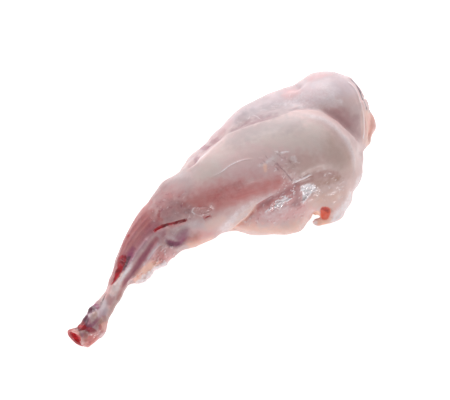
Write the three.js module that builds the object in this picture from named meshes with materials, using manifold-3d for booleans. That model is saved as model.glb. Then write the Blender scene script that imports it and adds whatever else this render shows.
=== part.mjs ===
// A raw rabbit hind leg, skinned and sawn off at the hock, lying on its side.
// The hock is at -X and the haunch at +X, and z = 0 is the table. All sizes are in millimetres.

import * as THREE from 'three';
import { LoftGeometry } from 'three/addons/geometries/LoftGeometry.js';
import { mergeVertices } from 'three/addons/utils/BufferGeometryUtils.js';
import Module from 'manifold-3d';

// Driving dimensions.

const FLESH_FROM_X = -99.4; // where the flesh stops and the bare end of the bone begins
const FLESH_TO_X = 97; // the round end at the hip
const TABLE_CUT = 0.2; // how much of the settled underside is pared off flat
const TABLE_BLEND = 4; // how softly the flesh turns under where it meets the table

const GAP = 0.3; // clearance between the bone, its bore and its marrow

// Each muscle is a swelling along its own path. A row is one point of that path and the radius there,
// flat is its height over its width, and soft is how gently it melts into the muscles named before it.
const MUSCLES = {
  thighFront: {
    flat: 1,
    soft: 2,
    path: [
      [-6, 14, 17, 5], [0, 14.5, 17, 6.5], [14, 14, 17, 9.8], [40, 12, 17, 14], [58, 8, 17.5, 15],
      [70, 2, 18, 15],
    ],
  },
  haunch: {
    flat: 0.92,
    soft: 6,
    path: [[60, -1, 19, 17], [72.5, -4, 20.6, 21.6], [75.5, -8, 19.4, 21.4]],
  },
  thighOuter: {
    flat: 0.86,
    soft: 2,
    path: [
      [-28, 6, 15, 9], [-6, 3, 18.5, 15], [18, -4, 21, 21], [38, -11, 21.5, 24.5],
      [47, -15, 21.5, 24], [52, -20, 19, 22.5],
    ],
  },
  thighInner: {
    flat: 1,
    soft: 4,
    path: [[-6, -10, 8, 5], [4, -16.5, 8.5, 10], [16, -23, 9, 13], [30, -27, 11.5, 14], [46, -31, 11, 13.5]],
  },
  underside: {
    flat: 0.7,
    soft: 8,
    path: [[4, 2, 8, 9], [25, -2, 8, 17], [55, -5, 8.5, 19.5], [74, -7, 9.5, 18]],
  },
  flank: {
    flat: 0.9,
    soft: 8,
    path: [[72, -24, 10, 11.5], [62, -31, 9.5, 11], [50, -37.5, 8, 10.5], [41, -42.5, 6, 6.5]],
  },
  calf: {
    flat: 1,
    soft: 3,
    path: [[-58, -3.5, 6, 3], [-40, -0.8, 8, 7], [-18, -4, 12, 10.8], [4, -8, 15, 12]],
  },
  calfTear: {
    flat: 0.9,
    soft: 1,
    path: [[-60.5, -4.2, 4.2, 1.8], [-55, -5, 5, 3], [-44, -3, 7, 4.4]],
  },
  shin: {
    flat: 1,
    soft: 3,
    path: [[-72, 0, 8, 2.5], [-53, 7, 9, 5.5], [-34, 11, 12, 8.5], [-16, 11, 15, 11]],
  },
  shank: {
    flat: 1,
    soft: 3,
    path: [[-95, -8.5, 6, 5], [-88, -7.5, 6.4, 4.8], [-72, -2.8, 8.2, 3.9], [-50, 1, 10, 5], [-30, 4, 13, 8]],
  },
  ankle: {
    flat: 0.95,
    soft: 3,
    path: [[-95, -9.8, 6.1, 5.9], [-90, -8.6, 6.6, 6.1], [-86, -6.4, 7, 4.6]],
  },
};

const BEADS = 48; // round steps along each muscle's path

// The line that the skin's cross-sections are drawn round, as [x, y, z, half width, half height].
const CORE = [
  [-103, -9, 6.5, 6, 6], [-80, -6, 7, 6, 6], [-50, 1, 9, 12, 10], [-20, 1, 14, 20, 14],
  [15, -9, 18, 32, 20], [45, -12, 18, 34, 20], [70, -10, 18, 26, 20], [97, -8, 18.5, 8, 8],
];

const RINGS = 84; // cross-sections from hock to haunch
const RING_POINTS = 56; // points round each one
const ROUNDING = 0.6; // how far the rings are drawn together where the two ends round off
const REACH = 80; // further out than any point of the skin is from the core
const CLOSEST = 0.2; // the skin never comes nearer to the core than this
const CAUTION = 0.6; // share of the free distance taken in one step towards the skin
const STEPS = 200; // most steps towards the skin
const TOUCH = 1e-3; // near enough to count as on the skin

// Torn strips of flesh, as rows of [x, y, z, radius]: one hooks round under the flank, one edges the rump.
const STRIPS = [
  [
    [50, -42, 6, 4], [44, -46, 5, 3.2], [38, -47.4, 4, 2.3], [33, -45, 3.2, 1.8], [29.8, -42, 2.8, 1.4],
    [28.6, -40.8, 2.7, 0.5],
  ],
  [
    [87, -14, 24, 1.5], [89.6, -19.6, 19, 3.4], [89.4, -24.4, 14.5, 3.8], [86.5, -27.6, 10.5, 3.2],
    [81, -30, 6, 1.6],
  ],
];
const STRIP_STEPS = 14;
const STRIP_SIDES = 12;

// The gap inside the hooked strip and the pocket that it runs into, each an egg turned about the vertical.
const HOLLOWS = [
  { at: [32.4, -40.6, 0], half: [5, 1.9, 8], turn: -0.45 },
  { at: [37.2, -42.6, 4.6], half: [4.2, 2.8, 4.4], turn: -0.45 },
];
const HOLLOW_SIDES = 20;

// The shin bone, from its sawn face to the knee, and its marrow.
const BONE_FROM = new THREE.Vector3(-101.2, -7.4, 6);
const BONE_TO = new THREE.Vector3(-24, 5.4, 12.2);
const BONE_SHAFT = 2.6;
const BONE_HOCK = 4.6;
const BONE_KNEE = 4.6;
const BONE_FLARE = 11; // how far from each end the bone thickens
const BONE_BEVEL = 0.5; // worn edge of the sawn face
const BONE_SIDES = 20;
const BONE_STEPS = 12;
const MARROW = 0.72; // radius of the marrow over that of the bone
const MARROW_SUNK = 0.5; // how far the marrow has drawn back from the sawn face
const MARROW_LENGTH = 0.85; // share of the bone that the marrow runs through

const wasm = await Module();
wasm.setup();

// A closed body that can be joined to others and cut, from any geometry.
function bodyOf(geometry) {
  const bare = new THREE.BufferGeometry().copy(geometry);
  bare.deleteAttribute('normal');
  bare.deleteAttribute('uv');
  const merged = mergeVertices(bare);
  return new wasm.Manifold(new wasm.Mesh({
    numProp: 3,
    vertProperties: merged.attributes.position.array,
    triVerts: Uint32Array.from(merged.index.array),
  }));
}

// A body as a geometry again.
function geometryOf(body) {
  const { vertProperties, triVerts } = body.getMesh();
  const geometry = new THREE.BufferGeometry();
  geometry.setAttribute('position', new THREE.BufferAttribute(vertProperties, 3));
  geometry.setIndex(new THREE.BufferAttribute(triVerts, 1));
  geometry.computeVertexNormals();
  return geometry;
}

// A curve through rows of numbers, read at a share of its length from 0 to 1.
function alongRows(rows) {
  const parts = [];
  for (let from = 0; from < rows[0].length; from += 3) {
    const points = rows.map((row) => new THREE.Vector3(row[from], row[from + 1] ?? 0, row[from + 2] ?? 0));
    parts.push(new THREE.CatmullRomCurve3(points, false, 'centripetal'));
  }
  return (share) => parts.flatMap((curve) => curve.getPoint(share).toArray());
}

// A muscle as a string of round beads, close enough to read as one swelling.
function beadsOf({ path, flat }) {
  const at = alongRows(path);
  return Array.from({ length: BEADS + 1 }, (_, i) => {
    const [x, y, z, radius] = at(i / BEADS);
    return { x, y, z, radius, flat };
  });
}

const muscles = Object.values(MUSCLES).map((muscle) => ({ soft: muscle.soft, beads: beadsOf(muscle) }));

// How far a point is outside one muscle, negative inside.
function distanceTo({ beads }, x, y, z) {
  let nearest = Infinity;
  for (const bead of beads) {
    const out = Math.hypot(x - bead.x, y - bead.y, (z - bead.z) / bead.flat) - bead.radius;
    nearest = Math.min(nearest, out);
  }
  return nearest;
}

// The smaller of two distances, rounded over where they are within `soft` of each other.
function blend(a, b, soft) {
  const overlap = Math.max(soft - Math.abs(a - b), 0) / soft;
  return Math.min(a, b) - overlap * overlap * soft / 4;
}

// How far a point is outside all the flesh, which settles flat on the table.
function outside(x, y, z) {
  const join = (found, muscle) => blend(found, distanceTo(muscle, x, y, z), muscle.soft);
  return -blend(-muscles.reduce(join, Infinity), z, TABLE_BLEND);
}

// The point of the skin on one ray of a cross-section, met from outside.
function skinPoint([x, y, z], across, up) {
  let out = REACH;
  for (let step = 0; step < STEPS; step += 1) {
    const gap = outside(x, y + across * out, z + up * out);
    if (gap < TOUCH || out <= CLOSEST) {
      break;
    }
    out = Math.max(out - CAUTION * gap, CLOSEST);
  }
  return new THREE.Vector3(x, y + across * out, z + up * out);
}

// The core's place and half sizes at one x, found by halving the stretch that holds it.
function coreAt(core, x) {
  let low = 0;
  let high = 1;
  while (high - low > TOUCH) {
    const middle = (low + high) / 2;
    if (core(middle)[0] < x) {
      low = middle;
    } else {
      high = middle;
    }
  }
  return core(low);
}

// The skin's cross-sections, closer together towards both ends.
function skinSections() {
  const core = alongRows(CORE);
  return Array.from({ length: RINGS }, (_, i) => {
    const share = i / (RINGS - 1);
    const eased = THREE.MathUtils.lerp(share, (1 - Math.cos(share * Math.PI)) / 2, ROUNDING);
    const x = THREE.MathUtils.lerp(FLESH_FROM_X, FLESH_TO_X, eased);
    const [, y, z, halfWidth, halfHeight] = coreAt(core, x);
    return Array.from({ length: RING_POINTS }, (_, j) => {
      const turn = j / RING_POINTS * Math.PI * 2;
      const ray = new THREE.Vector2(halfWidth * Math.cos(turn), halfHeight * Math.sin(turn)).normalize();
      return skinPoint([x, y, z], ray.x, ray.y);
    });
  });
}

// A tapering strip that follows its path.
function stripGeometry(rows) {
  const at = alongRows(rows);
  const point = (share) => new THREE.Vector3(...at(THREE.MathUtils.clamp(share, 0, 1)).slice(0, 3));
  const sections = Array.from({ length: STRIP_STEPS + 1 }, (_, i) => {
    const share = i / STRIP_STEPS;
    const radius = at(share)[3];
    const ahead = point(share + 1 / STRIP_STEPS).sub(point(share - 1 / STRIP_STEPS)).normalize();
    const aside = new THREE.Vector3(0, 0, 1).cross(ahead).normalize();
    const lift = ahead.cross(aside);
    return Array.from({ length: STRIP_SIDES }, (_, j) => {
      const turn = j / STRIP_SIDES * Math.PI * 2;
      const out = aside.clone().multiplyScalar(radius * Math.cos(turn));
      return out.addScaledVector(lift, radius * Math.sin(turn)).add(point(share));
    });
  });
  return new LoftGeometry(sections, { capStart: true, capEnd: true });
}

function hollowGeometry({ at, half, turn }) {
  const hollow = new THREE.SphereGeometry(1, HOLLOW_SIDES, HOLLOW_SIDES / 2);
  hollow.scale(...half);
  hollow.rotateZ(turn);
  hollow.translate(...at);
  return hollow;
}

const boneLength = BONE_FROM.distanceTo(BONE_TO);
const boneAxis = BONE_TO.clone().sub(BONE_FROM).normalize();
const boneTurn = new THREE.Quaternion().setFromUnitVectors(new THREE.Vector3(0, 1, 0), boneAxis);

// The bone's radius at a distance from its sawn face: thick at both ends, slender between.
function boneRadius(along) {
  const near = (from) => 1 - THREE.MathUtils.smoothstep(from, 0, BONE_FLARE);
  const atHock = (BONE_HOCK - BONE_SHAFT) * near(along);
  return BONE_SHAFT + atHock + (BONE_KNEE - BONE_SHAFT) * near(boneLength - along);
}

// A wall along the bone at a share of its radius, moved out by `grow`, from one distance to another.
function boneWall(from, to, share, grow) {
  return Array.from({ length: BONE_STEPS + 1 }, (_, i) => {
    const along = THREE.MathUtils.lerp(from, to, i / BONE_STEPS);
    return new THREE.Vector2(boneRadius(along) * share + grow, along);
  });
}

function turned(profile) {
  return new THREE.LatheGeometry(profile, BONE_SIDES);
}

// A bone open at its sawn face, where a blind canal holds the marrow.
function boneGeometry() {
  const canalEnd = boneLength * MARROW_LENGTH + GAP;
  const canal = boneWall(0, canalEnd, MARROW, GAP).reverse();
  const outer = boneWall(BONE_BEVEL, boneLength, 1, 0);
  const bevel = new THREE.Vector2(BONE_HOCK - BONE_BEVEL, 0);
  return turned([
    new THREE.Vector2(0, canalEnd), ...canal, bevel, ...outer, new THREE.Vector2(0, boneLength),
  ]);
}

function marrowGeometry() {
  const end = boneLength * MARROW_LENGTH;
  const wall = boneWall(MARROW_SUNK, end, MARROW, 0);
  return turned([new THREE.Vector2(0, MARROW_SUNK), ...wall, new THREE.Vector2(0, end)]);
}

// The hole that the bone lies in, which runs out through the end of the flesh.
function boreGeometry() {
  const wall = boneWall(0, boneLength, 1, GAP);
  const bore = turned([
    new THREE.Vector2(0, 0), ...wall, new THREE.Vector2(BONE_KNEE + GAP, boneLength + GAP),
    new THREE.Vector2(0, boneLength + GAP),
  ]);
  bore.applyQuaternion(boneTurn);
  bore.translate(...BONE_FROM.toArray());
  return bore;
}

// The slab below the table line, which leaves the underside flat.
function tableGeometry() {
  const table = new THREE.BoxGeometry(REACH * 4, REACH * 4, REACH);
  table.translate(0, 0, TABLE_CUT - REACH / 2);
  return table;
}

function meatGeometry() {
  const skin = bodyOf(new LoftGeometry(skinSections(), { capStart: true, capEnd: true }));
  const flesh = STRIPS.reduce((body, rows) => body.add(bodyOf(stripGeometry(rows))), skin);
  const cuts = [...HOLLOWS.map(hollowGeometry), tableGeometry(), boreGeometry()];
  return geometryOf(cuts.reduce((body, cut) => body.subtract(bodyOf(cut)), flesh));
}

// A named piece of the leg in its own colour.
function piece(name, geometry, color, roughness) {
  const material = new THREE.MeshStandardMaterial({ color, roughness, metalness: 0 });
  const mesh = new THREE.Mesh(geometry, material);
  mesh.name = name;
  return mesh;
}

const bone = new THREE.Group();
bone.add(piece('shank_bone', boneGeometry(), 0xd9c3a3, 0.5));
bone.add(piece('bone_marrow', marrowGeometry(), 0xb5352f, 0.35));
bone.position.copy(BONE_FROM);
bone.quaternion.copy(boneTurn);

const leg = new THREE.Group();
leg.add(piece('leg_meat', meatGeometry(), 0xc9a8a4, 0.4));
leg.add(bone);

// The origin is under the middle of the leg, on the table.
const box = new THREE.Box3().setFromObject(leg, true);
const middle = box.getCenter(new THREE.Vector3());
leg.position.set(-middle.x, -middle.y, -box.min.z);

export default leg;
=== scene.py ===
# %% [markdown]
# # A raw rabbit leg
# A skinned hind leg lies on its inner side. The haunch is at the far end, the sawn hock at the near end.
# The solids give the form at its real size, with facets of two or three millimetres. This lesson dresses
# them: a fine skin is grown over the meat, seams, cuts and cords are pressed into it, and the finishes
# colour it as raw meat under a thin silvery membrane, with some shade and highlights painted in.

import math

import bmesh
import bpy
import numpy as np
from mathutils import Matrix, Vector, noise
from mathutils.bvhtree import BVHTree


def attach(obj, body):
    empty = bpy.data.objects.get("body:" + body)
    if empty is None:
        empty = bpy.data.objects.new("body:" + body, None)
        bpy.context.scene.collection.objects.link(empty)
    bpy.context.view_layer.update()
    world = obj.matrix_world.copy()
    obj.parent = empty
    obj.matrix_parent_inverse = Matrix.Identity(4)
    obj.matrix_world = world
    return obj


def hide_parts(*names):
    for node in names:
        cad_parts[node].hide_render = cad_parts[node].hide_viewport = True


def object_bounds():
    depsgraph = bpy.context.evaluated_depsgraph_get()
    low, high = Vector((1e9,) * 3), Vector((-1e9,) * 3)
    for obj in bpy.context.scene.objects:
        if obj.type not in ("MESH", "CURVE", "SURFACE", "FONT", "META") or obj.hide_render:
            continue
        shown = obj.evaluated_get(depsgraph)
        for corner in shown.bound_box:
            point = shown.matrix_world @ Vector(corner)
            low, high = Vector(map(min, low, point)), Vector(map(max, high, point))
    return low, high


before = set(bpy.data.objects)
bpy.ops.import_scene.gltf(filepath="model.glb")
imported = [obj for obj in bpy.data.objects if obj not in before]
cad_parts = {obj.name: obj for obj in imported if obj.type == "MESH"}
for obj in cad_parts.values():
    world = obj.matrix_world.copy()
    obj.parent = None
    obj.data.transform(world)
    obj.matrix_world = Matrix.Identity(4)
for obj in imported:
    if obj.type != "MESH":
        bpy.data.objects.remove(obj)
solid_low, solid_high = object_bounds()
scene = bpy.context.scene
MM = 0.001
print("solid box, mm:", [round(side / MM, 1) for side in solid_high - solid_low])

# %% [markdown]
# ## The camera
# The leg is seen from above and from the hock's side, with a long lens from over half a metre away.
# The camera comes first because the marks on the meat are named by the pixel where they show: a ray from
# the camera through that pixel finds the place on the skin. From then on each mark is part of the mesh,
# so it stays put from every other side.

# %% Camera
PHOTO_WIDE, PHOTO_HIGH = 450, 400
LENS, SENSOR = 100.0, 36.0
AZIMUTH, ELEVATION = math.radians(-45), math.radians(55)
DISTANCE = 625 * MM
TARGET = Vector((3.5, 6.0, 14.8)) * MM
FOCAL = PHOTO_WIDE * LENS / SENSOR

backward = Vector((
    math.sin(AZIMUTH) * math.cos(ELEVATION),
    -math.cos(AZIMUTH) * math.cos(ELEVATION),
    math.sin(ELEVATION),
))
rightward = Vector((math.cos(AZIMUTH), math.sin(AZIMUTH), 0))
upward = backward.cross(rightward)
eye = TARGET + backward * DISTANCE

camera = bpy.data.objects.new("camera", bpy.data.cameras.new("camera"))
camera.data.lens = LENS
camera.data.sensor_width = SENSOR
camera.location = eye
camera.rotation_euler = (-backward).to_track_quat("-Z", "Y").to_euler()
scene.collection.objects.link(camera)
scene.camera = camera


def pixel_ray(across, down):
    """The direction from the camera through a pixel."""
    right = (across - PHOTO_WIDE / 2) / FOCAL
    below = (down - PHOTO_HIGH / 2) / FOCAL
    return (rightward * right - upward * below - backward).normalized()


print("camera at, mm:", [round(place / MM) for place in eye])

# %% [markdown]
# ## The skin of the meat
# The meat's solid has a bore for the bone and coarse facets. A copy of it is merged, the bore is cut out
# and its mouth closed, because the bone piece fills it. Subdivision rounds the facets, and a voxel remesh
# lays an even net of small faces over the whole leg. Sculpting by hand would do as well, but an even net
# lets every later mark be a short rule about distance.

# %% A merged copy without the bore
MERGE = 0.001 * MM
BORE_WALL = 0.45 * MM


def merged_copy(node):
    """A bmesh of a solid, with its loose triangles joined."""
    shape = bmesh.new()
    shape.from_mesh(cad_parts[node].data)
    bmesh.ops.remove_doubles(shape, verts=shape.verts, dist=MERGE)
    return shape


def split_big_faces(shape):
    """Cuts the faces that have more than four corners into triangles."""
    bmesh.ops.triangulate(shape, faces=[face for face in shape.faces if len(face.verts) > 4])


meat = merged_copy("leg_meat")
bone_tree = BVHTree.FromBMesh(merged_copy("shank_bone"))
bore = [corner for corner in meat.verts if bone_tree.find_nearest(corner.co)[3] < BORE_WALL]
bmesh.ops.delete(meat, geom=bore, context="VERTS")
mouth = [edge for edge in meat.edges if edge.is_boundary]
bmesh.ops.holes_fill(meat, edges=mouth, sides=0)
split_big_faces(meat)
print("bore corners removed:", len(bore), "mouth edges closed:", len(mouth))

# %% Rounded, then even
SKIN_STEP = 1.0 * MM
QUAD_BEND = math.radians(50)
ROUNDING = 2
SOFTENING, SPLIT_SOFTENING = 3, 2


def soften(shape, times, factor=0.5):
    """Evens out the corners of a shape."""
    for _ in range(times):
        bmesh.ops.smooth_vert(
            shape, verts=shape.verts, factor=factor, use_axis_x=True, use_axis_y=True, use_axis_z=True
        )


def new_piece(shape, name):
    """An object in the scene with the mesh of a shape."""
    piece = bpy.data.objects.new(name, bpy.data.meshes.new(name))
    shape.to_mesh(piece.data)
    scene.collection.objects.link(piece)
    return piece


def apply_modifiers(piece):
    """Makes the piece's mesh what its modifiers show, and clears them."""
    shown = piece.evaluated_get(bpy.context.evaluated_depsgraph_get())
    result = bpy.data.meshes.new_from_object(shown)
    piece.modifiers.clear()
    piece.data = result


bmesh.ops.join_triangles(
    meat, faces=meat.faces, angle_face_threshold=QUAD_BEND, angle_shape_threshold=QUAD_BEND
)
leg = new_piece(meat, "leg_flesh")
rounding = leg.modifiers.new("rounding", "SUBSURF")
rounding.levels = rounding.render_levels = ROUNDING
evening = leg.modifiers.new("evening", "REMESH")
evening.mode = "VOXEL"
evening.voxel_size = SKIN_STEP
apply_modifiers(leg)
skin = bmesh.new()
skin.from_mesh(leg.data)
soften(skin, SOFTENING)
print("skin faces:", len(skin.faces))

# %% [markdown]
# ## Bone and marrow
# The shank bone shows only at the sawn hock: a cream ring of hard bone round a red core. Both are copies
# of the solids with their edges split and softened, so that the sawn face is a little worn and uneven.
# The end is moved a little, drawn out into an oval, sawn at a slant and waisted behind the cut, and the
# marrow lies nearly level with it. Bone comes before flesh here, because the flesh is kept off it later.

# %% Bone and marrow pieces
WEAR, WEAR_RATE, WEAR_SOFTNESS = 0.12, 0.7, 0.3
MARROW_CUTS, BONE_CUTS = 2, 3
BONE_END = Vector((-98.7, 4.6, 5.8))
BONE_AXIS = Vector((0.983, 0.163, 0.079)).normalized()
OVAL_SLANT = rightward * 0.55 - upward * 0.83
OVAL_STRETCH, OVAL_DEPTH = 0.28, 5.0
MARROW_PROUD, MARROW_DEPTH = 0.1, 0.9
SAW_LEAN, SAW_REACH, SAW_DEPTH = 0.22, 4.5, 12.0
END_SHIFT = rightward * 0.35 - upward * 1.0
WAIST, WAIST_FROM_END, WAIST_LONG = 0.32, 6.5, 4.0


def smooth_step(low, high, value):
    """0 below low, 1 above high, with a soft S between."""
    t = np.clip((value - low) / (high - low), 0, 1)
    return t * t * (3 - 2 * t)


def worn_shape(node, cuts):
    """A fine bmesh of a solid, worn and uneven, with its end drawn out into an oval and sawn aslant."""
    shape = merged_copy(node)
    bmesh.ops.subdivide_edges(shape, edges=shape.edges, cuts=cuts, use_grid_fill=True)
    soften(shape, 1, factor=WEAR_SOFTNESS)
    shape.normal_update()
    slant = (OVAL_SLANT - OVAL_SLANT.dot(BONE_AXIS) * BONE_AXIS).normalized()
    lean = (backward - backward.dot(BONE_AXIS) * BONE_AXIS).normalized()
    side = lean.cross(BONE_AXIS)
    for corner in shape.verts:
        gap = corner.co / MM - BONE_END
        along = gap.dot(BONE_AXIS)
        oval = OVAL_STRETCH * (1 - smooth_step(0, OVAL_DEPTH, along))
        wear = WEAR * noise.noise(corner.co / MM * WEAR_RATE)
        near_end = 1 - smooth_step(0, SAW_DEPTH, along)
        waist = WAIST * math.exp(-((along - WAIST_FROM_END) / WAIST_LONG) ** 2) * max(0, gap.dot(side))
        move = BONE_AXIS * SAW_LEAN * max(0, gap.dot(lean) + SAW_REACH) + END_SHIFT
        move = move * near_end + slant * gap.dot(slant) * oval - side * waist
        corner.co += (corner.normal * wear + move) * MM
    return shape


def bone_piece(shape, name):
    """A piece of a shape, smoothly shaded and kept inside the solids' box."""
    for corner in shape.verts:
        corner.co = np.clip(corner.co, solid_low, solid_high)
    piece = new_piece(shape, name)
    piece.data.shade_smooth()
    print(name, "faces:", len(piece.data.polygons))
    return piece


core = worn_shape("bone_marrow", MARROW_CUTS)
sawn = min(core.faces, key=lambda face: (face.calc_center_median() / MM - BONE_END).length)
sawn_facing = sawn.normal.copy()
SAWN_LEVEL = sawn.calc_center_median().dot(sawn_facing)
for corner in core.verts:
    depth = (SAWN_LEVEL - corner.co.dot(sawn_facing)) / MM
    corner.co -= BONE_AXIS * MARROW_PROUD * (1 - smooth_step(0, MARROW_DEPTH, depth)) * MM
core.normal_update()
marrow = bone_piece(core, "hock_marrow")
worn_bone = worn_shape("shank_bone", BONE_CUTS)
bone = bone_piece(worn_bone, "hock_bone")
worn_tree = BVHTree.FromBMesh(worn_bone)
print("sawn face looks:", [round(part, 2) for part in sawn_facing])

# %% [markdown]
# ## The outline
# Rounding and evening draw the leg's edge in a little here and let it out there. Before anything is drawn
# on the skin, its outline is nudged where it strays from the view. Only skin that is seen side-on moves,
# along the way it faces, so the broad form keeps its shape. The skin never sinks into the bone.

# %% The outline, nudged
TABLE_FADE = 3.0
BONE_CLEAR = 0.25
NUDGED_FULLY, NUDGED_NOT = 0.5, 0.9
NUDGES = (
    ((148, 203), 7, -0.6), ((163, 182), 8, 0.9), ((174, 173), 9, 1.2), ((181, 168), 4, 1.0),
    ((189, 158), 12, 1.9), ((214, 136), 6, 0.5), ((240, 109), 18, 1.2), ((280, 89), 7, -0.8),
    ((297, 85), 5, -1.2), ((292, 84), 9, -2.6), ((303, 78), 8, -1.6), ((330, 72), 8, 0.5),
    ((341, 74), 9, 1.0), ((350, 79), 6, 1.3), ((358, 86), 5, 0.3), ((364, 95), 4, -0.5),
    ((373, 136), 5, -1.6), ((365, 152), 6, -2.4), ((363, 164), 8, -1.4), ((355, 188), 5, 0.8),
    ((355, 192), 8, -2.4), ((341, 218), 5, 1.0), ((317, 222), 5, 1.6), ((315, 216), 3.5, -2.4),
    ((301, 228), 9, 3.6), ((288, 231), 11, 2.2), ((237, 232), 11, -2.0), ((214, 238), 6, 0.6),
    ((183, 251), 9, -1.4), ((165, 265), 5, 1.4), ((155, 271), 4, -0.8), ((133, 283), 5, -1.8),
    ((112, 272), 8, -0.9), ((107, 286), 6, -1.3), ((103, 296), 6, -1.8), ((120, 300), 8, 1.2),
    ((114, 312), 6, 1.0), ((97, 301), 4, 0.6), ((84, 347), 6, 1.5), ((103, 334), 6, 1.0),
    ((82, 320), 5, -1.4), ((79, 324), 4, -1.8), ((86, 314), 4, -0.8),
)


def view_pixels(places, looks):
    """The pixel where each place shows, and how squarely it faces the camera."""
    gap = places * MM - np.array(eye)
    depth = -gap @ np.array(backward)
    across = PHOTO_WIDE / 2 + FOCAL * (gap @ np.array(rightward)) / depth
    down = PHOTO_HIGH / 2 - FOCAL * (gap @ np.array(upward)) / depth
    towards = -(gap * looks).sum(1) / np.linalg.norm(gap, axis=1)
    return np.stack([across, down], axis=1), towards


def read_skin():
    """Places in millimetres, facings, pixels and squareness to the camera of all skin corners."""
    skin.normal_update()
    places = np.array([corner.co for corner in skin.verts]) / MM
    looks = np.array([corner.normal for corner in skin.verts])
    return places, looks, *view_pixels(places, looks)


def settle(places, rise):
    """Fades a rise out at the table, and keeps the skin from sinking into the bone."""
    settled = rise * smooth_step(0, TABLE_FADE, places[:, 2])
    for index in np.flatnonzero(settled < 0):
        place = Vector(places[index] * MM)
        wall, facing, _, room = worn_tree.find_nearest(place)
        room = math.copysign(room / MM, (place - wall).dot(facing))
        settled[index] = max(settled[index], min(BONE_CLEAR - room, 0))
    return settled


points, facings, pixels, towards = read_skin()
side_on = 1 - smooth_step(NUDGED_FULLY, NUDGED_NOT, np.abs(towards))
rise = np.zeros(len(points))
for pixel, radius, height in NUDGES:
    away = np.linalg.norm(pixels - np.array(pixel), axis=1)
    rise += height * side_on * np.exp(-(away / radius) ** 2)
for corner, facing, height in zip(skin.verts, facings, settle(points, rise)):
    corner.co += Vector(facing * height * MM)
print("outline nudges:", len(NUDGES))

# %% [markdown]
# ## Lines drawn on the leg
# Creases, cords, cuts and tears all run along lines. Each line is a few pixels of the view, joined by a
# smooth curve and dropped onto the skin. A line that misses the leg at its very edge takes the nearest
# skin instead. Each line also carries a slow wobble, because no seam in meat is equally wide or deep all
# the way.

# %% Smooth lines on the skin
PATH_STEP = 1.5
PASSING_DEPTHS = range(520, 740, 10)
WOBBLE_RATE, WOBBLE_SEED = 0.14, 0.5
leg_tree = BVHTree.FromBMesh(skin)


def smooth_path(corners, closed=False):
    """Points every pixel or two along a smooth curve through the given pixels."""
    knots = [Vector(corner) for corner in corners]
    if closed:
        knots = [knots[-1], *knots, knots[0], knots[1]]
    else:
        knots = [2 * knots[0] - knots[1], *knots, 2 * knots[-1] - knots[-2]]
    path = []
    for before, start, end, after in zip(knots, knots[1:], knots[2:], knots[3:]):
        count = max(1, round((end - start).length / PATH_STEP))
        for step in range(count):
            t = step / count
            bend = 2 * before - 5 * start + 4 * end - after
            twist = 3 * start - before - 3 * end + after
            path.append((2 * start + (end - before) * t + bend * t * t + twist * t ** 3) / 2)
    return path if closed else path + [knots[-2]]


def on_leg(pixel):
    """The place on the skin behind a pixel, and the way the skin faces there."""
    ray = pixel_ray(*pixel)
    place, facing, _, _ = leg_tree.ray_cast(eye, ray)
    if place is None:
        nearby = [leg_tree.find_nearest(eye + ray * depth * MM) for depth in PASSING_DEPTHS]
        place, facing, _, _ = min(nearby, key=lambda found: found[3])
    return place / MM, facing


class Line:
    """A line on the leg, as places and facings along it, with a slow wobble from -1 to 1."""

    def __init__(self, *corners):
        found = [on_leg(pixel) for pixel in smooth_path(corners)]
        self.places = np.array([place for place, _ in found])
        self.facings = np.array([facing for _, facing in found])
        tangents = np.gradient(self.places, axis=0)
        self.tangents = tangents / np.linalg.norm(tangents, axis=1)[:, None].clip(1e-9)
        start = Vector((*corners[0], WOBBLE_SEED))
        run = Vector((WOBBLE_RATE, 0, 0))
        self.wobble = np.array([noise.noise(start + run * step) for step in range(len(found))])


# %% Lines of the haunch and thigh
THIGH_RIM = Line(
    (361, 143), (353, 136), (345, 127), (336, 119), (328, 114), (318, 111), (305, 110), (290, 112),
    (274, 118), (255, 124), (238, 130), (226, 136), (214, 147), (204, 157), (196, 164), (186, 170),
)
RIM_ROLL = Line(
    (294, 115), (308, 116), (322, 120), (333, 127), (342, 136), (349, 146), (353, 159), (354, 180),
)
HAUNCH_SIDE = Line((357, 84), (363, 91), (368, 100), (372, 110))
STRIP_VALLEY = Line((226, 133), (236, 128), (246, 122), (256, 118), (268, 115), (284, 111), (300, 108))
LEFT_RIM = Line((232, 132), (223, 138), (212, 148), (204, 155), (199, 160), (195, 165.5), (187, 170))
FRONT_GAP = Line(
    (185, 169), (190, 166.5), (194, 163), (197, 158.5), (203, 152), (210, 146), (218, 140), (229, 131),
)
HAUNCH_VALLEY = Line((318, 107), (329, 111), (339, 117), (348, 126), (358, 137))
HAUNCH_CUT = Line(
    (346, 77), (351, 80), (355, 84), (359, 90), (362, 96), (365, 102), (367, 108), (368, 114),
)
HAUNCH_EDGE = Line((347, 80), (355, 89), (360, 100), (363, 112), (364, 126), (363, 141))
TAG_CREASE = Line((365.5, 113), (365.5, 121), (366, 131), (365.5, 142))
TENDON = Line((212, 177), (221, 172), (231, 165), (243, 160), (254, 159))
VESSEL = Line((275, 162), (279, 166), (283, 169), (286, 173), (289, 177), (292, 182))
SHORT_CREASE = Line((291, 185.5), (297, 182.5), (303, 180), (309, 177), (314, 175))
CREASE_TAIL = Line((311, 177), (318, 174), (328, 171), (336, 173), (341, 176))
print("thigh rim, samples:", len(THIGH_RIM.places))

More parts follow.
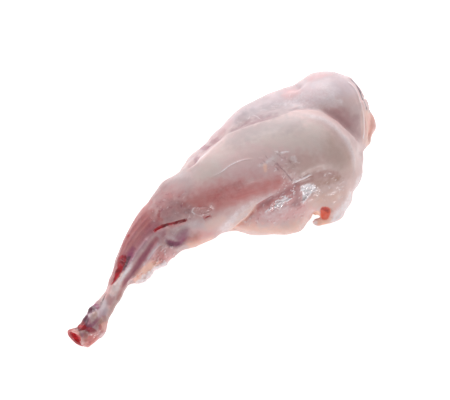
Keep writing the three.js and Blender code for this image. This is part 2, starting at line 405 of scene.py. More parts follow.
# %% Lines of the knee, shin and calf
BAND_EDGE = Line((229, 231), (238, 224), (245, 218), (250, 213), (255, 206), (263, 200), (274, 194))
KNEE_SLIT = Line(
    (153, 232), (157, 229), (163, 226), (168, 224.5), (173, 223.5), (180, 221.5), (188, 219.5),
)
SECOND_SLIT = Line((203, 219), (207, 217), (212, 215))
MEMBRANE_LOOP = Line(
    (192, 211), (194, 208), (198, 208), (203, 207), (208, 208), (211, 211), (206, 214), (198, 215),
    (192, 212),
)
BRUISE_FOLD = Line((164, 239), (168, 243), (175, 246), (182, 243), (187, 235))
SHIN_GASH = Line((122, 260), (122, 266), (119, 273), (115, 279), (112, 285))
TIBIA = Line((150, 237), (143, 246), (137, 254), (131, 263), (125, 272), (118, 282), (112, 291))
TIBIA_TOP = Line((152, 234), (145, 243), (139, 251), (132, 261))
TIBIA_FOOT = Line((135, 260), (129, 269), (123, 277), (114, 290))
TIBIA_GROOVE = Line((159, 236), (153, 243), (147, 252), (140, 262), (134, 271), (127, 280), (120, 289))
CALF_STRAND = Line((161, 242), (155, 248), (149, 257), (142, 267), (134, 278))
FINE_LINES = [
    HAUNCH_EDGE, TENDON, VESSEL, SHORT_CREASE, BAND_EDGE, KNEE_SLIT, SECOND_SLIT, MEMBRANE_LOOP,
    SHIN_GASH,
]


def run_of(line):
    """The way a line runs, from its first place to its last."""
    gap = line.places[-1] - line.places[0]
    return gap / np.linalg.norm(gap)


SHIN_RUN = run_of(TIBIA)
LEG_RUN = run_of(Line((330, 100), (240, 150), (150, 225)))
BAND_RUN = run_of(Line((186, 200), (232, 192), (280, 180)))
WRINKLE_RUN = run_of(Line((302, 202), (309, 194), (317, 185)))
print("fine lines:", len(FINE_LINES), "the shin runs:", SHIN_RUN.round(2))

# %% [markdown]
# ## A finer net where it counts
# A cut of one millimetre needs faces of its own, so the net is split once on the side that shows, and
# once more along the fine lines, in the wet wrinkled hollows and over the gnarled hock. Splitting the
# whole skin so far would cost many times the faces for nothing.

# %% Distance from lines and outlines
SAME_FACE = -0.1
RIM_BAND = 2.0


def nearest_of(targets, queries):
    """For each query the index of the nearest target."""
    squared = (targets ** 2).sum(1) - 2 * queries @ targets.T
    return squared.argmin(1)


def line_field(line, reach):
    """The skin corners within reach of a line: which they are, the signed distance from it, positive on
    the left of its run as seen from outside, and the nearest sample of the line."""
    inside = (points > line.places.min(0) - reach) & (points < line.places.max(0) + reach)
    near = np.flatnonzero(inside.all(1))
    nearest = nearest_of(line.places, points[near])
    gap = points[near] - line.places[nearest]
    tangent = line.tangents[nearest]
    ahead = (gap * tangent).sum(1)
    past_end = ((nearest == 0) & (ahead < 0)) | ((nearest == len(line.places) - 1) & (ahead > 0))
    square = gap - ahead[:, None] * tangent
    distance = np.where(past_end, np.linalg.norm(gap, axis=1), np.linalg.norm(square, axis=1))
    leftward = np.cross(line.facings[nearest], tangent)
    signed = distance * np.where((square * leftward).sum(1) < 0, -1, 1)
    same_face = (facings[near] * line.facings[nearest]).sum(1) > SAME_FACE
    keep = (distance < reach) & same_face
    return near[keep], signed[keep], nearest[keep]


def depth_inside(corners, where):
    """How deep pixels lie inside a smooth closed outline, negative outside it."""
    outline = np.array(smooth_path(corners, closed=True))
    ahead = np.roll(outline, -1, axis=0)
    distance = np.linalg.norm(where - outline[nearest_of(outline, where)], axis=1)
    inside = np.zeros(len(where), bool)
    for (x, y), (next_x, next_y) in zip(outline, ahead):
        between = (y > where[:, 1]) != (next_y > where[:, 1])
        reach = x + (where[:, 1] - y) * (next_x - x) / (next_y - y if next_y != y else 1)
        inside ^= between & (where[:, 0] < reach)
    return np.where(inside, distance, -distance)


print("corners along the thigh rim:", len(line_field(THIGH_RIM, RIM_BAND)[0]))

# %% Split the net
SIDE_ON = -0.1
FINE_REACH = 1.1
HOCK_X = -85.0
WET_STREAK = (
    (266, 212), (271, 206), (277, 200), (283, 196), (289, 194), (290, 199), (285, 204), (276, 210),
)
WET_HOLLOW = (
    (302, 188), (306, 184), (313, 184), (317, 188), (312, 193), (307, 198), (303, 203), (303, 196),
)


def split_net(chosen):
    """Splits every edge between two chosen corners in half."""
    edges = [
        edge for edge in skin.edges if chosen[edge.verts[0].index] and chosen[edge.verts[1].index]
    ]
    bmesh.ops.subdivide_edges(skin, edges=edges, cuts=1, use_grid_fill=True)
    split_big_faces(skin)
    skin.verts.index_update()


points, facings, pixels, towards = read_skin()
split_net(towards > SIDE_ON)
soften(skin, SPLIT_SOFTENING)
points, facings, pixels, towards = read_skin()
chosen = (points[:, 0] < HOCK_X) & (towards > SIDE_ON)
for line in FINE_LINES:
    chosen[line_field(line, FINE_REACH)[0]] = True
for corners in (WET_STREAK, WET_HOLLOW):
    chosen |= (depth_inside(corners, pixels) > 0) & (towards > 0)
split_net(chosen)
points, facings, pixels, towards = read_skin()
print("skin corners:", len(points), "triangles:", sum(len(face.verts) - 2 for face in skin.faces))

# %% [markdown]
# ## Relief and colour masks
# Two things are gathered for every corner of the skin: how far it rises or sinks, and how much of each
# finish it shows, as a mask from 0 to 1. Both could be painted by hand, but rules on lines, outlines and
# spots can be read, changed and run again.

# %% Tools for relief and masks
# Some finishes also carry painted light: slate is painted shade, the seam colour and mauve are partly
# painted shade in creases, valleys and hollows, and the pale membrane colour is partly painted highlights
# and glints.
FINISHES = (
    "grey", "lilac", "slate_shade", "pink", "brown", "muscle", "mauve_and_shade", "bruise", "fat", "orange", "fascia_and_highlight",
    "seam_and_shade", "blood", "wet", "damp", "shin",
)
STRIPE_REACH, GROOVE_REACH = 1.5, 2.5
THINNEST = 0.05
EDGE_SHARE = 0.5
PATCH_MARGIN = 4
TURNED_AWAY, TURNED_ASIDE = -0.4, -0.1
SPOT_EDGE, SPOT_TURN = 0.25, -0.2
EVERYWHERE = slice(None)
CLEARLY = 0.3
rise = np.zeros(len(points))
masks = {name: np.zeros(len(points)) for name in FINISHES}


def grain(size, run=(1, 0, 0), stretch=1.0, seed=0.0):
    """Soft lumps from -1 to 1 over the skin, of a size in millimetres, drawn out along a run."""
    shift = Vector((seed, 2 * seed, 3 * seed))
    drawn = points - np.outer(points @ np.array(run), run) * (1 - 1 / stretch)
    return np.array([noise.noise(Vector(place) + shift) for place in drawn / size])


rough_edge = grain(2.6, seed=9.3) + EDGE_SHARE * grain(1.1, seed=4.9)


def cover(name, which, amount):
    """Lays more of a finish over some corners, keeping what is there where it is stronger."""
    masks[name][which] = np.maximum(masks[name][which], np.clip(amount, 0, 1))


def fade_ends(line, nearest, ends):
    """Fades a line out towards its two ends, over the given share of its length."""
    along = nearest / (len(line.places) - 1)
    return smooth_step(0, ends, along) * smooth_step(0, ends, 1 - along) if ends else 1.0


def draw(line, finish, width, strength=1.0, soft=0.9, offset=0.0, ends=0.15, uneven=0.4):
    """Colours a stripe along a line, with the outer share of its width fading."""
    which, signed, nearest = line_field(line, STRIPE_REACH * width + abs(offset))
    wide = width * (1 + uneven * (line.wobble[nearest] + EDGE_SHARE * rough_edge[which]))
    away = np.abs(signed - offset) / wide.clip(THINNEST)
    amount = (1 - smooth_step(1 - soft, 1, away)) * fade_ends(line, nearest, ends)
    cover(finish, which, strength * amount * (1 + uneven * line.wobble[::-1][nearest]))


def press(line, depth, width, offset=0.0, ends=0.15, uneven=0.4):
    """Sinks a groove along a line, or raises a cord where the depth is negative."""
    which, signed, nearest = line_field(line, GROOVE_REACH * width + abs(offset))
    deep = depth * (1 + uneven * line.wobble[nearest]) * fade_ends(line, nearest, ends)
    rise[which] -= deep * np.exp(-((signed - offset) / width) ** 2)


def overlap(line, height, edge, reach, ends=0.15, uneven=0.4):
    """Raises the left of a line over its right, as where one muscle lies over the next."""
    which, signed, nearest = line_field(line, GROOVE_REACH * reach)
    high = height * (1 + uneven * line.wobble[nearest]) * fade_ends(line, nearest, ends)
    over = smooth_step(-edge, edge, signed) - 0.5
    rise[which] += high * over * np.exp(-(signed / reach) ** 2)


def patch(finish, strength, soft, *corners, rough=0.6):
    """Colours the skin inside an outline of pixels, fading over soft pixels at its uneven edge."""
    box = np.array(corners)
    reach = 2 * soft + PATCH_MARGIN
    near = ((pixels > box.min(0) - reach) & (pixels < box.max(0) + reach)).all(1)
    which = np.flatnonzero(near & (towards > TURNED_AWAY))
    inside = depth_inside(corners, pixels[which]) + rough * soft * rough_edge[which]
    amount = strength * smooth_step(-soft, soft, inside)
    cover(finish, which, amount * smooth_step(TURNED_AWAY, TURNED_ASIDE, towards[which]))


def spot(finish, pixel, radius, strength=1.0, soft=0.8):
    """Colours a round spot on the skin behind a pixel."""
    place, facing = on_leg(pixel)
    away = np.linalg.norm(points - np.array(place), axis=1) * (1 + SPOT_EDGE * rough_edge)
    which = np.flatnonzero((away < radius) & (facings @ np.array(facing) > SPOT_TURN))
    cover(finish, which, strength * (1 - smooth_step(radius * (1 - soft), radius, away[which])))


def swell(pixel, radius, height):
    """Raises a round knob on the skin behind a pixel, or sinks a dent."""
    place, _ = on_leg(pixel)
    away = np.linalg.norm(points - np.array(place), axis=1)
    rise[:] += height * np.exp(-(away / radius) ** 2)


def relief_range():
    """The deepest and the highest relief so far, in millimetres."""
    return round(float(rise.min()), 2), round(float(rise.max()), 2)


def tell(finish):
    """Prints the share of skin corners that clearly show a finish so far."""
    print(finish, "on the skin so far:", round(float((masks[finish] > CLEARLY).mean()), 3))


print("finishes:", len(FINISHES))

# %% Many lines at once
TRIES = 8
LEAN_SPREAD = 0.45
SHORTEST, LONGEST = 0.25, 0.8
STROKE_BEND = 0.12
GROOVE_ENDS = 0.3


def strands(first, second, count):
    """Lines spread evenly between two lines of pixels with the same number of corners."""
    for step in range(count):
        share = (step + 0.5) / count
        yield Line(*[(1 - share) * np.array(a) + share * np.array(b) for a, b in zip(first, second)])


def strokes(count, length, lean, seed, *corners):
    """Short crooked lines scattered inside an outline, all leaning about one way in the view."""
    chance = np.random.default_rng(seed)
    low, high = np.array(corners).min(0), np.array(corners).max(0)
    middles = low + (high - low) * chance.random((TRIES * count, 2))
    inside = middles[depth_inside(corners, middles) > 0][:count]
    for middle in inside:
        angle = math.radians(lean) + chance.normal(0, LEAN_SPREAD)
        half = length * chance.uniform(SHORTEST, LONGEST) * np.array((math.cos(angle), -math.sin(angle)))
        bend = chance.normal(0, STROKE_BEND * length, 2)
        yield Line(middle - half, middle + bend, middle + half)


def hatch(lines, finish, width, strength, depth=0.0, groove=0.35, soft=1.0, ends=0.4, uneven=0.4):
    """Draws many lines in one finish, each in its own groove, or on a cord if the depth is negative."""
    for line in lines:
        if depth:
            press(line, depth, groove, ends=GROOVE_ENDS)
        draw(line, finish, width, strength, soft=soft, ends=ends, uneven=uneven)


print("strokes in the wet hollow:", len(list(strokes(26, 5.0, 48, 14, *WET_HOLLOW))))

# %% [markdown]
# ## Haunch and thigh
# The haunch stands behind the thigh like a round shoulder, with a deep valley between them that is
# painted mauve and slate as shade. The thigh's upper rim is a pale fold of membrane that overlaps the
# valley. Its dome is silvery grey, and to the right it is brown, partly the muscle's colour and partly
# painted shade where the dome turns from the light. Pale patches paint light onto the shaded underside of
# the haunch's crown. A pale double rim with a dark line runs down the haunch's cut edge.

# %% Relief of the haunch and the front strip
press(HAUNCH_VALLEY, 1.7, 3.4, ends=0.35)
swell((328, 89), 10.0, 0.8)
press(HAUNCH_SIDE, 0.8, 3.0, ends=0.2, uneven=0.1)
overlap(THIGH_RIM, 1.0, 2.0, 4.5, ends=0.04)
press(RIM_ROLL, -0.6, 3.0, ends=0.25)
press(STRIP_VALLEY, 0.8, 3.0, offset=-0.6, ends=0.3)
press(FRONT_GAP, 0.45, 1.1, ends=0.3)
press(HAUNCH_EDGE, -0.4, 0.9, offset=-0.6)
print("relief, mm:", relief_range())

# %% Colours of the front strip
FRONT_STRIP = (
    (188, 160), (204, 144), (222, 122), (246, 104), (276, 90), (306, 76), (330, 70), (350, 78),
    (358, 92), (346, 96), (334, 98), (318, 104), (300, 106), (276, 110), (252, 116), (234, 124),
    (214, 140), (198, 156),
)
STRIP_FACE = (215, 134), (246, 114), (290, 92), (300, 96), (262, 116), (222, 138)
patch("lilac", 0.75, 6, *FRONT_STRIP, rough=0.3)
# Slate and mauve paint shade into the valley under the front strip and along the strip's underside above
# the thigh rim.
patch("slate_shade", 0.7, 5, (236, 124), (243, 111), (258, 106), (276, 103), (292, 104), (286, 113), (266, 117),
      (250, 122))
patch("pink", 0.6, 5, (284, 91), (297, 88), (301, 94), (292, 100), (284, 98))
patch("lilac", 0.4, 5, (194, 164), (206, 146), (222, 129), (244, 112), (246, 117), (228, 130), (210, 150))
patch("slate_shade", 0.95, 4, (229, 132), (238, 125), (247, 119), (257, 114), (269, 111), (280, 112),
      (279, 118), (264, 122), (252, 125), (239, 129), rough=0.3)
patch("mauve_and_shade", 0.6, 3, (231, 131), (240, 125), (250, 119), (268, 114), (278, 114), (266, 121), (250, 125),
      (240, 128))
draw(Line((278, 110), (290, 109), (302, 107), (314, 108), (324, 111)), "slate_shade", 2.2, 0.75, ends=0.3)
draw(Line((284, 110), (296, 108), (310, 108), (322, 110)), "mauve_and_shade", 1.8, 0.3, ends=0.3)
# A pale patch paints a highlight on the front strip.
patch("fascia_and_highlight", 0.5, 5, (274, 104), (286, 99), (298, 97), (304, 95), (306, 99), (298, 104), (286, 106))
patch("slate_shade", 0.4, 4, (276, 92), (290, 86), (300, 85), (303, 90), (294, 96), (280, 97))
patch("slate_shade", 0.35, 4, (240, 110), (250, 101), (264, 96), (270, 100), (254, 109))
hatch(strokes(16, 9.0, 25, 3, *STRIP_FACE), "fascia_and_highlight", 0.6, 0.35, soft=0.9)
tell("lilac")

# %% Colours of the haunch and its cut edge
HAUNCH_SLOPE = (
    (324, 109), (334, 107), (346, 110), (355, 118), (362, 134), (358, 140), (350, 133), (340, 123),
    (330, 113),
)
# Slate and mauve paint shade on the haunch's slope that faces the thigh.
patch("slate_shade", 0.2, 6, (334, 95), (346, 88), (355, 96), (361, 110), (360, 124), (350, 113), (338, 105),
      rough=0.3)
patch("mauve_and_shade", 0.65, 6, *HAUNCH_SLOPE, rough=0.3)
patch("mauve_and_shade", 0.5, 2.5, (352, 114), (359, 116), (360, 132), (359, 143), (353, 137), (351, 124))
patch("pink", 0.6, 5, (327, 107), (338, 108), (348, 115), (351, 124), (343, 121), (334, 115))
patch("pink", 0.5, 3, (306, 79), (314, 75), (324, 73), (332, 75), (322, 78), (310, 82))
patch("pink", 0.4, 6, (302, 95), (318, 88), (326, 94), (318, 104), (304, 106))
# Pale patches paint light onto the haunch's crown, its shaded underside and the valley by the strip.
patch("fascia_and_highlight", 0.5, 8, (300, 96), (318, 86), (334, 86), (338, 96), (328, 106), (308, 108), rough=0.3)
patch("fascia_and_highlight", 0.5, 4, (292, 98), (300, 93), (310, 90), (314, 96), (306, 101), (296, 102))
patch("slate_shade", 0.35, 3, (304, 80), (315, 74), (330, 71), (341, 74), (330, 79), (312, 82))
patch("fascia_and_highlight", 0.45, 4, (316, 99), (332, 96), (344, 102), (336, 108), (322, 107))
patch("fascia_and_highlight", 0.5, 5, (298, 100), (316, 97), (326, 101), (318, 105), (300, 107), rough=0.3)
draw(HAUNCH_EDGE, "fascia_and_highlight", 0.9, 0.6, offset=-0.2, ends=0.05, uneven=0.6)
# These pale patches lighten the rump strip's side, which turns from the light: partly its own pale
# colour, partly painted light.
patch("fascia_and_highlight", 0.25, 1.2, (360, 108), (364, 106), (366, 120), (366, 138), (362, 143), (361, 125))
patch("fat", 0.3, 1.2, (361, 112), (365, 108), (366, 120), (366, 138), (362, 143))
draw(HAUNCH_EDGE, "pink", 1.2, 0.5, soft=0.7, offset=1.4)
draw(HAUNCH_CUT, "slate_shade", 2.4, 0.9, soft=1.0, offset=0.9, ends=0.25, uneven=0.3)
draw(HAUNCH_CUT, "bruise", 1.8, 0.35, soft=1.0, offset=0.7, ends=0.3, uneven=0.8)
draw(HAUNCH_CUT, "seam_and_shade", 1.3, 0.75, soft=1.0, offset=0.3, ends=0.2, uneven=0.5)
tell("mauve_and_shade")

# %% Thigh dome and its rim
patch("grey", 0.95, 9, (196, 172), (214, 156), (232, 140), (256, 128), (285, 121), (318, 123), (336, 136),
      (348, 152), (348, 168), (330, 170), (300, 174), (280, 164), (250, 164), (225, 172), (205, 182))
# Slate paints shade below the thigh's rim. The brown to the right is partly the muscle's colour and
# partly painted shade where the dome turns from the light.
patch("slate_shade", 0.5, 7, (226, 138), (246, 125), (270, 119), (300, 118), (298, 130), (266, 136), (236, 148))
patch("brown", 0.6, 11, (330, 132), (340, 140), (348, 150), (351, 160), (349, 173), (334, 172),
      (322, 160), rough=0.3)
patch("brown", 0.5, 9, (292, 156), (318, 156), (334, 166), (330, 175), (304, 178), (284, 168))
patch("brown", 0.5, 4, (338, 158), (350, 154), (353, 168), (349, 178), (338, 176))
patch("lilac", 0.25, 9, (218, 160), (250, 145), (296, 152), (296, 172), (262, 178), (230, 182))
patch("pink", 0.35, 9, (222, 158), (250, 145), (300, 150), (330, 160), (310, 172), (262, 178), (230, 182))
draw(RIM_ROLL, "fascia_and_highlight", 4.4, 0.42, soft=1.0, ends=0.2, uneven=0.2)
draw(RIM_ROLL, "slate_shade", 2.5, 0.35, soft=1.0, ends=0.1)
patch("fat", 0.1, 4, (344, 150), (351, 148), (357, 160), (358, 180), (352, 194), (346, 184), (346, 166))
press(LEFT_RIM, -0.35, 1.2, ends=0.3)
draw(LEFT_RIM, "fascia_and_highlight", 1.1, 0.6, ends=0.3)
patch("fascia_and_highlight", 0.25, 3, (174, 178), (183, 171), (193, 168), (201, 164), (197, 173), (186, 179))
# Mauve, bruise and the seam colour paint shade into the cleft between the front strip and the thigh's
# left rim.
patch("mauve_and_shade", 0.35, 2.5, (186, 167), (191, 159), (198, 151), (206, 145), (214, 137), (222, 129),
      (226, 132), (213, 145), (198, 159))
patch("bruise", 0.3, 1.5, (188, 168), (193, 163), (194, 157), (198, 155), (200, 157), (197, 162),
      (192, 167))
patch("seam_and_shade", 0.3, 1.5, (193, 163), (194, 158), (197, 156), (199, 157), (196, 163))
patch("bruise", 0.5, 1.5, (200, 148), (204, 145), (209, 146), (208, 149), (203, 150))
patch("bruise", 0.25, 1.5, (210, 143), (213, 139), (218, 137), (219, 139), (215, 143))
patch("pink", 0.35, 2.5, (209, 142), (216, 134), (226, 124), (232, 119), (230, 125), (218, 138))
draw(FRONT_GAP, "mauve_and_shade", 0.9, 0.6, ends=0.2, uneven=0.9)
tell("grey")

# %% Cords and creases of the thigh
press(TENDON, -0.14, 0.4, ends=0.1)
draw(TENDON, "fascia_and_highlight", 0.42, 0.8, ends=0.2, uneven=0.9)
press(VESSEL, 0.12, 0.4)
draw(VESSEL, "mauve_and_shade", 0.8, 0.6, uneven=1.0)
draw(Line((278, 164.5), (281, 166.5), (284, 169.5)), "seam_and_shade", 0.6, 0.5, ends=0.4)
overlap(SHORT_CREASE, 0.7, 0.4, 1.2, ends=0.2)
press(SHORT_CREASE, -0.25, 0.5, offset=0.8, ends=0.3)
draw(SHORT_CREASE, "fascia_and_highlight", 0.7, 1.0, soft=0.6, offset=0.8, ends=0.3, uneven=0.4)
draw(SHORT_CREASE, "wet", 0.7, 1.0, soft=0.5, offset=0.8, ends=0.3)
# A dark stripe paints the shade under the crease's lip.
draw(SHORT_CREASE, "seam_and_shade", 0.6, 0.7, offset=-0.2, ends=0.3, uneven=0.8)
overlap(CREASE_TAIL, 0.35, 0.8, 1.4, ends=0.3)
patch("brown", 0.9, 5, (300, 175), (312, 172), (325, 169), (338, 171), (344, 179), (334, 186), (318, 189),
      (312, 184))
patch("mauve_and_shade", 0.4, 4, (303, 178), (314, 173), (328, 170), (338, 174), (326, 178), (312, 181))
tell("brown")

# %% Sinew and flecks
SINEW = (
    (258, 160), (268, 154), (276, 150), (288, 150), (297, 158), (302, 176), (292, 187), (282, 176),
    (268, 169),
)
# The pale strokes and flecks are partly membrane and partly painted glints of the damp skin.
hatch(strokes(40, 5.0, 20, 5, *SINEW), "fascia_and_highlight", 0.35, 0.5, depth=-0.1, uneven=1.0)
hatch(strokes(24, 5.0, -40, 8, *SINEW), "mauve_and_shade", 0.4, 0.6, uneven=1.0)
patch("damp", 0.7, 5, *SINEW)
patch("fascia_and_highlight", 0.25, 4, (262, 162), (270, 156), (278, 154), (276, 160), (268, 166))
patch("fascia_and_highlight", 0.42, 2, (257, 165), (265, 161), (272, 156), (275, 159), (268, 164), (260, 167))
patch("fascia_and_highlight", 0.4, 2, (290, 157), (294, 155), (297, 158), (296, 162), (292, 161))
draw(Line((278, 153.5), (284, 152), (291, 151.5)), "fascia_and_highlight", 0.6, 0.8, ends=0.3)
patch("fat", 0.8, 1.5, (263, 164), (266, 164), (267, 171), (264, 172))
FLECKS = (278, 184), (284, 174), (294, 172), (302, 184), (302, 204), (288, 208), (276, 200)
for step, line in enumerate(strokes(54, 2.6, 55, 11, *FLECKS)):
    press(line, 0.12 * (-1) ** step, 0.35, ends=0.3)
    draw(line, "mauve_and_shade" if step % 2 else "fascia_and_highlight", 0.35, 0.6, ends=0.4, uneven=0.6)
tell("damp")

# %% [markdown]
# ## Red muscle, pale band and bulge
# Below the thigh the membrane thins and the red muscle shows through, darkest at the knee, where shade is
# painted into the hollows. A pale band of membrane lies under it and overlaps the inner bulge along a
# crisp edge, whose shadow is painted onto the bulge. Wet film gathers in the hollows there, and its fine
# wrinkles break the lamp's reflection into glints; more white glints are painted into its colour.

# %% Red muscle
patch("muscle", 0.42, 10, (168, 204), (184, 193), (205, 185), (234, 178), (258, 173), (280, 173),
      (294, 180), (302, 190), (290, 198), (270, 196), (246, 206), (220, 215), (196, 216), (176, 210))
patch("muscle", 0.8, 7, (178, 205), (196, 194), (222, 186), (250, 181), (274, 176), (288, 180),
      (278, 191), (260, 197), (244, 203), (226, 209), (212, 215), (194, 211), rough=0.2)
patch("muscle", 0.6, 5, (208, 197), (226, 184), (250, 179), (254, 188), (232, 198), (214, 204))
patch("blood", 0.27, 6, (206, 202), (220, 185), (236, 181), (252, 182), (240, 194), (222, 204))
patch("muscle", 0.5, 4, (198, 212), (204, 204), (216, 202), (222, 208), (216, 216), (204, 218))
patch("brown", 0.3, 6, (186, 205), (206, 197), (226, 194), (232, 201), (222, 209), (206, 214), rough=0.2)
patch("pink", 0.5, 8, (150, 205), (165, 188), (182, 186), (185, 200), (165, 208))
patch("pink", 0.5, 6, (186, 197), (204, 184), (232, 176), (252, 171), (250, 180), (226, 188), (204, 196))
# Mauve and slate paint shade on the knee's left side, over its rim light.
patch("mauve_and_shade", 0.45, 4, (144, 206), (154, 192), (164, 180), (170, 178), (164, 190), (154, 204),
      (146, 212))
patch("slate_shade", 0.5, 6, (150, 204), (160, 184), (172, 174), (186, 168), (192, 186), (188, 196), (166, 203))
tell("muscle")

# %% Pale band
PALE_BAND = (
    (219, 230), (227, 220), (236, 211), (247, 204), (260, 198), (276, 193), (262, 201), (254, 208),
    (246, 217), (237, 225), (228, 232),
)
patch("fascia_and_highlight", 0.55, 5, *PALE_BAND)
patch("lilac", 0.4, 5, (188, 222), (204, 219), (222, 217), (224, 224), (210, 231), (192, 229))
patch("fat", 0.4, 4, (206, 222), (220, 216), (226, 220), (216, 229), (204, 229))
patch("fat", 0.7, 3, (229, 229), (236, 218), (247, 208), (257, 202), (254, 211), (246, 221), (236, 230))
overlap(BAND_EDGE, 1.4, 0.6, 2.6, ends=0.1)
draw(BAND_EDGE, "fascia_and_highlight", 0.8, 0.5, soft=0.8, offset=0.8)
# A red stripe on the bulge's side paints the shadow that the band's edge casts.
draw(BAND_EDGE, "muscle", 1.3, 0.7, offset=-1.0)
tell("fascia_and_highlight")

# %% Bulge and flank
BULGE = (
    (240, 227), (248, 218), (255, 207), (264, 200), (282, 193), (298, 187), (306, 190), (308, 206),
    (302, 217), (284, 222), (262, 223),
)
FLANK = (314, 184), (330, 174), (350, 182), (348, 200), (334, 206), (318, 204)
patch("pink", 0.95, 8, *BULGE)
# Muscle and mauve paint the shadow where the bulge meets the band's edge.
patch("muscle", 0.8, 4, (254, 209), (263, 202), (278, 193), (288, 187), (299, 185), (290, 194),
      (272, 204), (260, 210))
patch("mauve_and_shade", 0.8, 3, (258, 207), (268, 198), (282, 190), (294, 183), (300, 184), (290, 193), (276, 199),
      (264, 207))
# Brown and mauve paint the shade under the short crease.
for finish, strength in (("brown", 0.9), ("mauve_and_shade", 0.5)):
    patch(finish, strength, 2, (294, 185), (300, 182.5), (308, 179), (313, 181), (306, 184.5), (298, 187))
patch("muscle", 0.6, 3, (272, 179), (282, 174), (288, 178), (290, 184), (278, 188))
patch("mauve_and_shade", 0.7, 4, (282, 194), (290, 188), (300, 188), (301, 198), (300, 206), (292, 206), (294, 198))
patch("fascia_and_highlight", 0.4, 5, (262, 214), (274, 209), (286, 205), (288, 212), (276, 218), (264, 219), rough=1.2)
patch("fat", 0.55, 6, (234, 231), (250, 222), (264, 227), (284, 226), (300, 219), (309, 214), (300, 232),
      (268, 237))
patch("brown", 0.45, 8, (314, 184), (328, 178), (340, 182), (336, 198), (320, 206))
patch("fat", 0.3, 7, (312, 196), (330, 192), (348, 184), (346, 204), (334, 220), (326, 206), (310, 210))
patch("damp", 0.6, 8, *FLANK)
# The pale strokes are partly fibres of membrane and partly painted glints of the damp skin.
hatch(strokes(70, 4.0, 50, 11, *BULGE), "fascia_and_highlight", 0.45, 0.5, depth=-0.12, groove=0.4)
hatch(strokes(50, 4.0, 50, 12, *BULGE), "muscle", 0.6, 0.5)
hatch(strokes(30, 4.0, 10, 13, *FLANK), "fascia_and_highlight", 0.4, 0.55, depth=-0.12, groove=0.4)
SPECKS = (284, 176), (292, 170), (300, 186), (300, 204), (288, 200)
for step, line in enumerate(strokes(24, 3.0, 50, 17, *SPECKS)):
    draw(line, "seam_and_shade" if step % 2 else "fascia_and_highlight", 0.4, 0.3 if step % 2 else 0.8, ends=0.3)
tell("pink")

# %% Wet hollows
# Dark streaks paint shade between the glints, and the white strokes and patches below paint glints of the
# wet film into its colour, beside the real glints from the glint lamps.
hatch(strokes(12, 5.0, 48, 18, *WET_HOLLOW), "seam_and_shade", 0.35, 0.45, soft=0.9, ends=0.3)
swell((309, 191), 4.5, -0.5)
for corners in (WET_STREAK, WET_HOLLOW):
    patch("wet", 1.0, 2, *corners)
    patch("damp", 1.0, 4, *corners)
    hatch(strokes(26, 5.0, 48, 14, *corners), "fascia_and_highlight", 0.45, 1.0, depth=-0.22, soft=0.8, ends=0.3)
patch("fascia_and_highlight", 1.0, 1.5, (301, 187), (308, 184), (316, 187), (312, 193), (307, 199), (303, 203),
      (303, 195))
patch("fascia_and_highlight", 0.9, 2, (274, 208), (278, 202), (284, 198), (288, 198), (285, 203), (279, 207))
tell("wet")

# %% Pocket and hooked flap
swell((325, 212), 2.4, -1.6)
patch("orange", 1.0, 1.2, (321, 208), (325, 207), (329, 208), (331, 211), (329, 217), (326, 220),
      (321, 218), rough=0.2)
# Blood and brown paint the shadow at the top of the pocket.
patch("blood", 0.5, 2, (321, 208), (326, 207), (330, 210), (329, 214), (325, 213), (321, 211), rough=0.2)
patch("brown", 0.8, 1.5, (328, 208), (332, 209), (333, 211), (330, 213), rough=0.2)
# The lip is painted pale, partly its own fat and partly painted light where it faces down into shade.
patch("fat", 0.9, 1.5, (310, 222), (317, 219.5), (323, 219), (329, 217), (334, 221), (320, 227),
      rough=0.2)
patch("fascia_and_highlight", 0.7, 1.5, (308, 222), (313, 218.5), (317, 219.5), (317, 227), (311, 227), rough=0.2)
patch("fat", 1.0, 1.0, (310, 218), (313, 213), (318, 211), (320, 214), (320, 219), (312, 219.5),
      rough=0.2)
patch("fascia_and_highlight", 0.75, 3, (334, 212), (342, 204), (350, 192), (354, 196), (346, 213), (336, 224),
      (331, 223))
patch("fat", 0.5, 3, (330, 216), (342, 204), (350, 192), (354, 196), (346, 213), (336, 224), (331, 223))
patch("fascia_and_highlight", 0.55, 3, (357, 178), (362, 174), (362, 184), (356, 194), (350, 208), (348, 202),
      (353, 190))
patch("pink", 0.5, 3, (332, 212), (338, 204), (342, 208), (338, 216), (333, 220))
patch("fascia_and_highlight", 0.35, 2.5, (236, 230), (250, 231), (264, 233), (280, 234), (264, 237), (240, 236))
patch("pink", 0.6, 3, (300, 222), (304, 210), (312, 206), (317, 209), (312, 214), (306, 222))
patch("fascia_and_highlight", 0.35, 3, (298, 228), (304, 216), (311, 209), (315, 211), (308, 219), (303, 228))
tell("orange")

# %% Strip at the rump
# The rump strip is painted fat, pink and pale, partly its own colour and partly painted light on its
# outer side, which turns from the light.
patch("fat", 0.5, 2, (364, 116), (368, 110), (371, 114), (379, 121), (377, 134), (369, 148), (365, 140))
patch("pink", 0.9, 1.5, (368, 115), (372, 114), (377, 121), (375, 131), (371, 138), (368, 128))
draw(TAG_CREASE, "blood", 0.8, 0.5, ends=0.2)
patch("fascia_and_highlight", 0.4, 1.5, (374, 121), (381, 121), (378, 134), (371, 147), (370, 140), (374, 128))
for line in strands(((366, 114), (368, 130), (366, 146)), ((371, 118), (372, 130), (368, 146)), 3):
    press(line, 0.2, 0.6)
    draw(line, "orange", 0.5, 0.2, uneven=0.9)
tell("fat")

# %% [markdown]
# ## Knee, shin and hock
# At the knee a blade has nicked the membrane, and a bruise sits on the joint. The shin bone runs just
# under the skin as a pale ridge between a red muscle and a purple groove. The calf ends in a torn, fatty
# fringe. At the hock the skin is gnarled, bruised and bloody round the sawn bone.

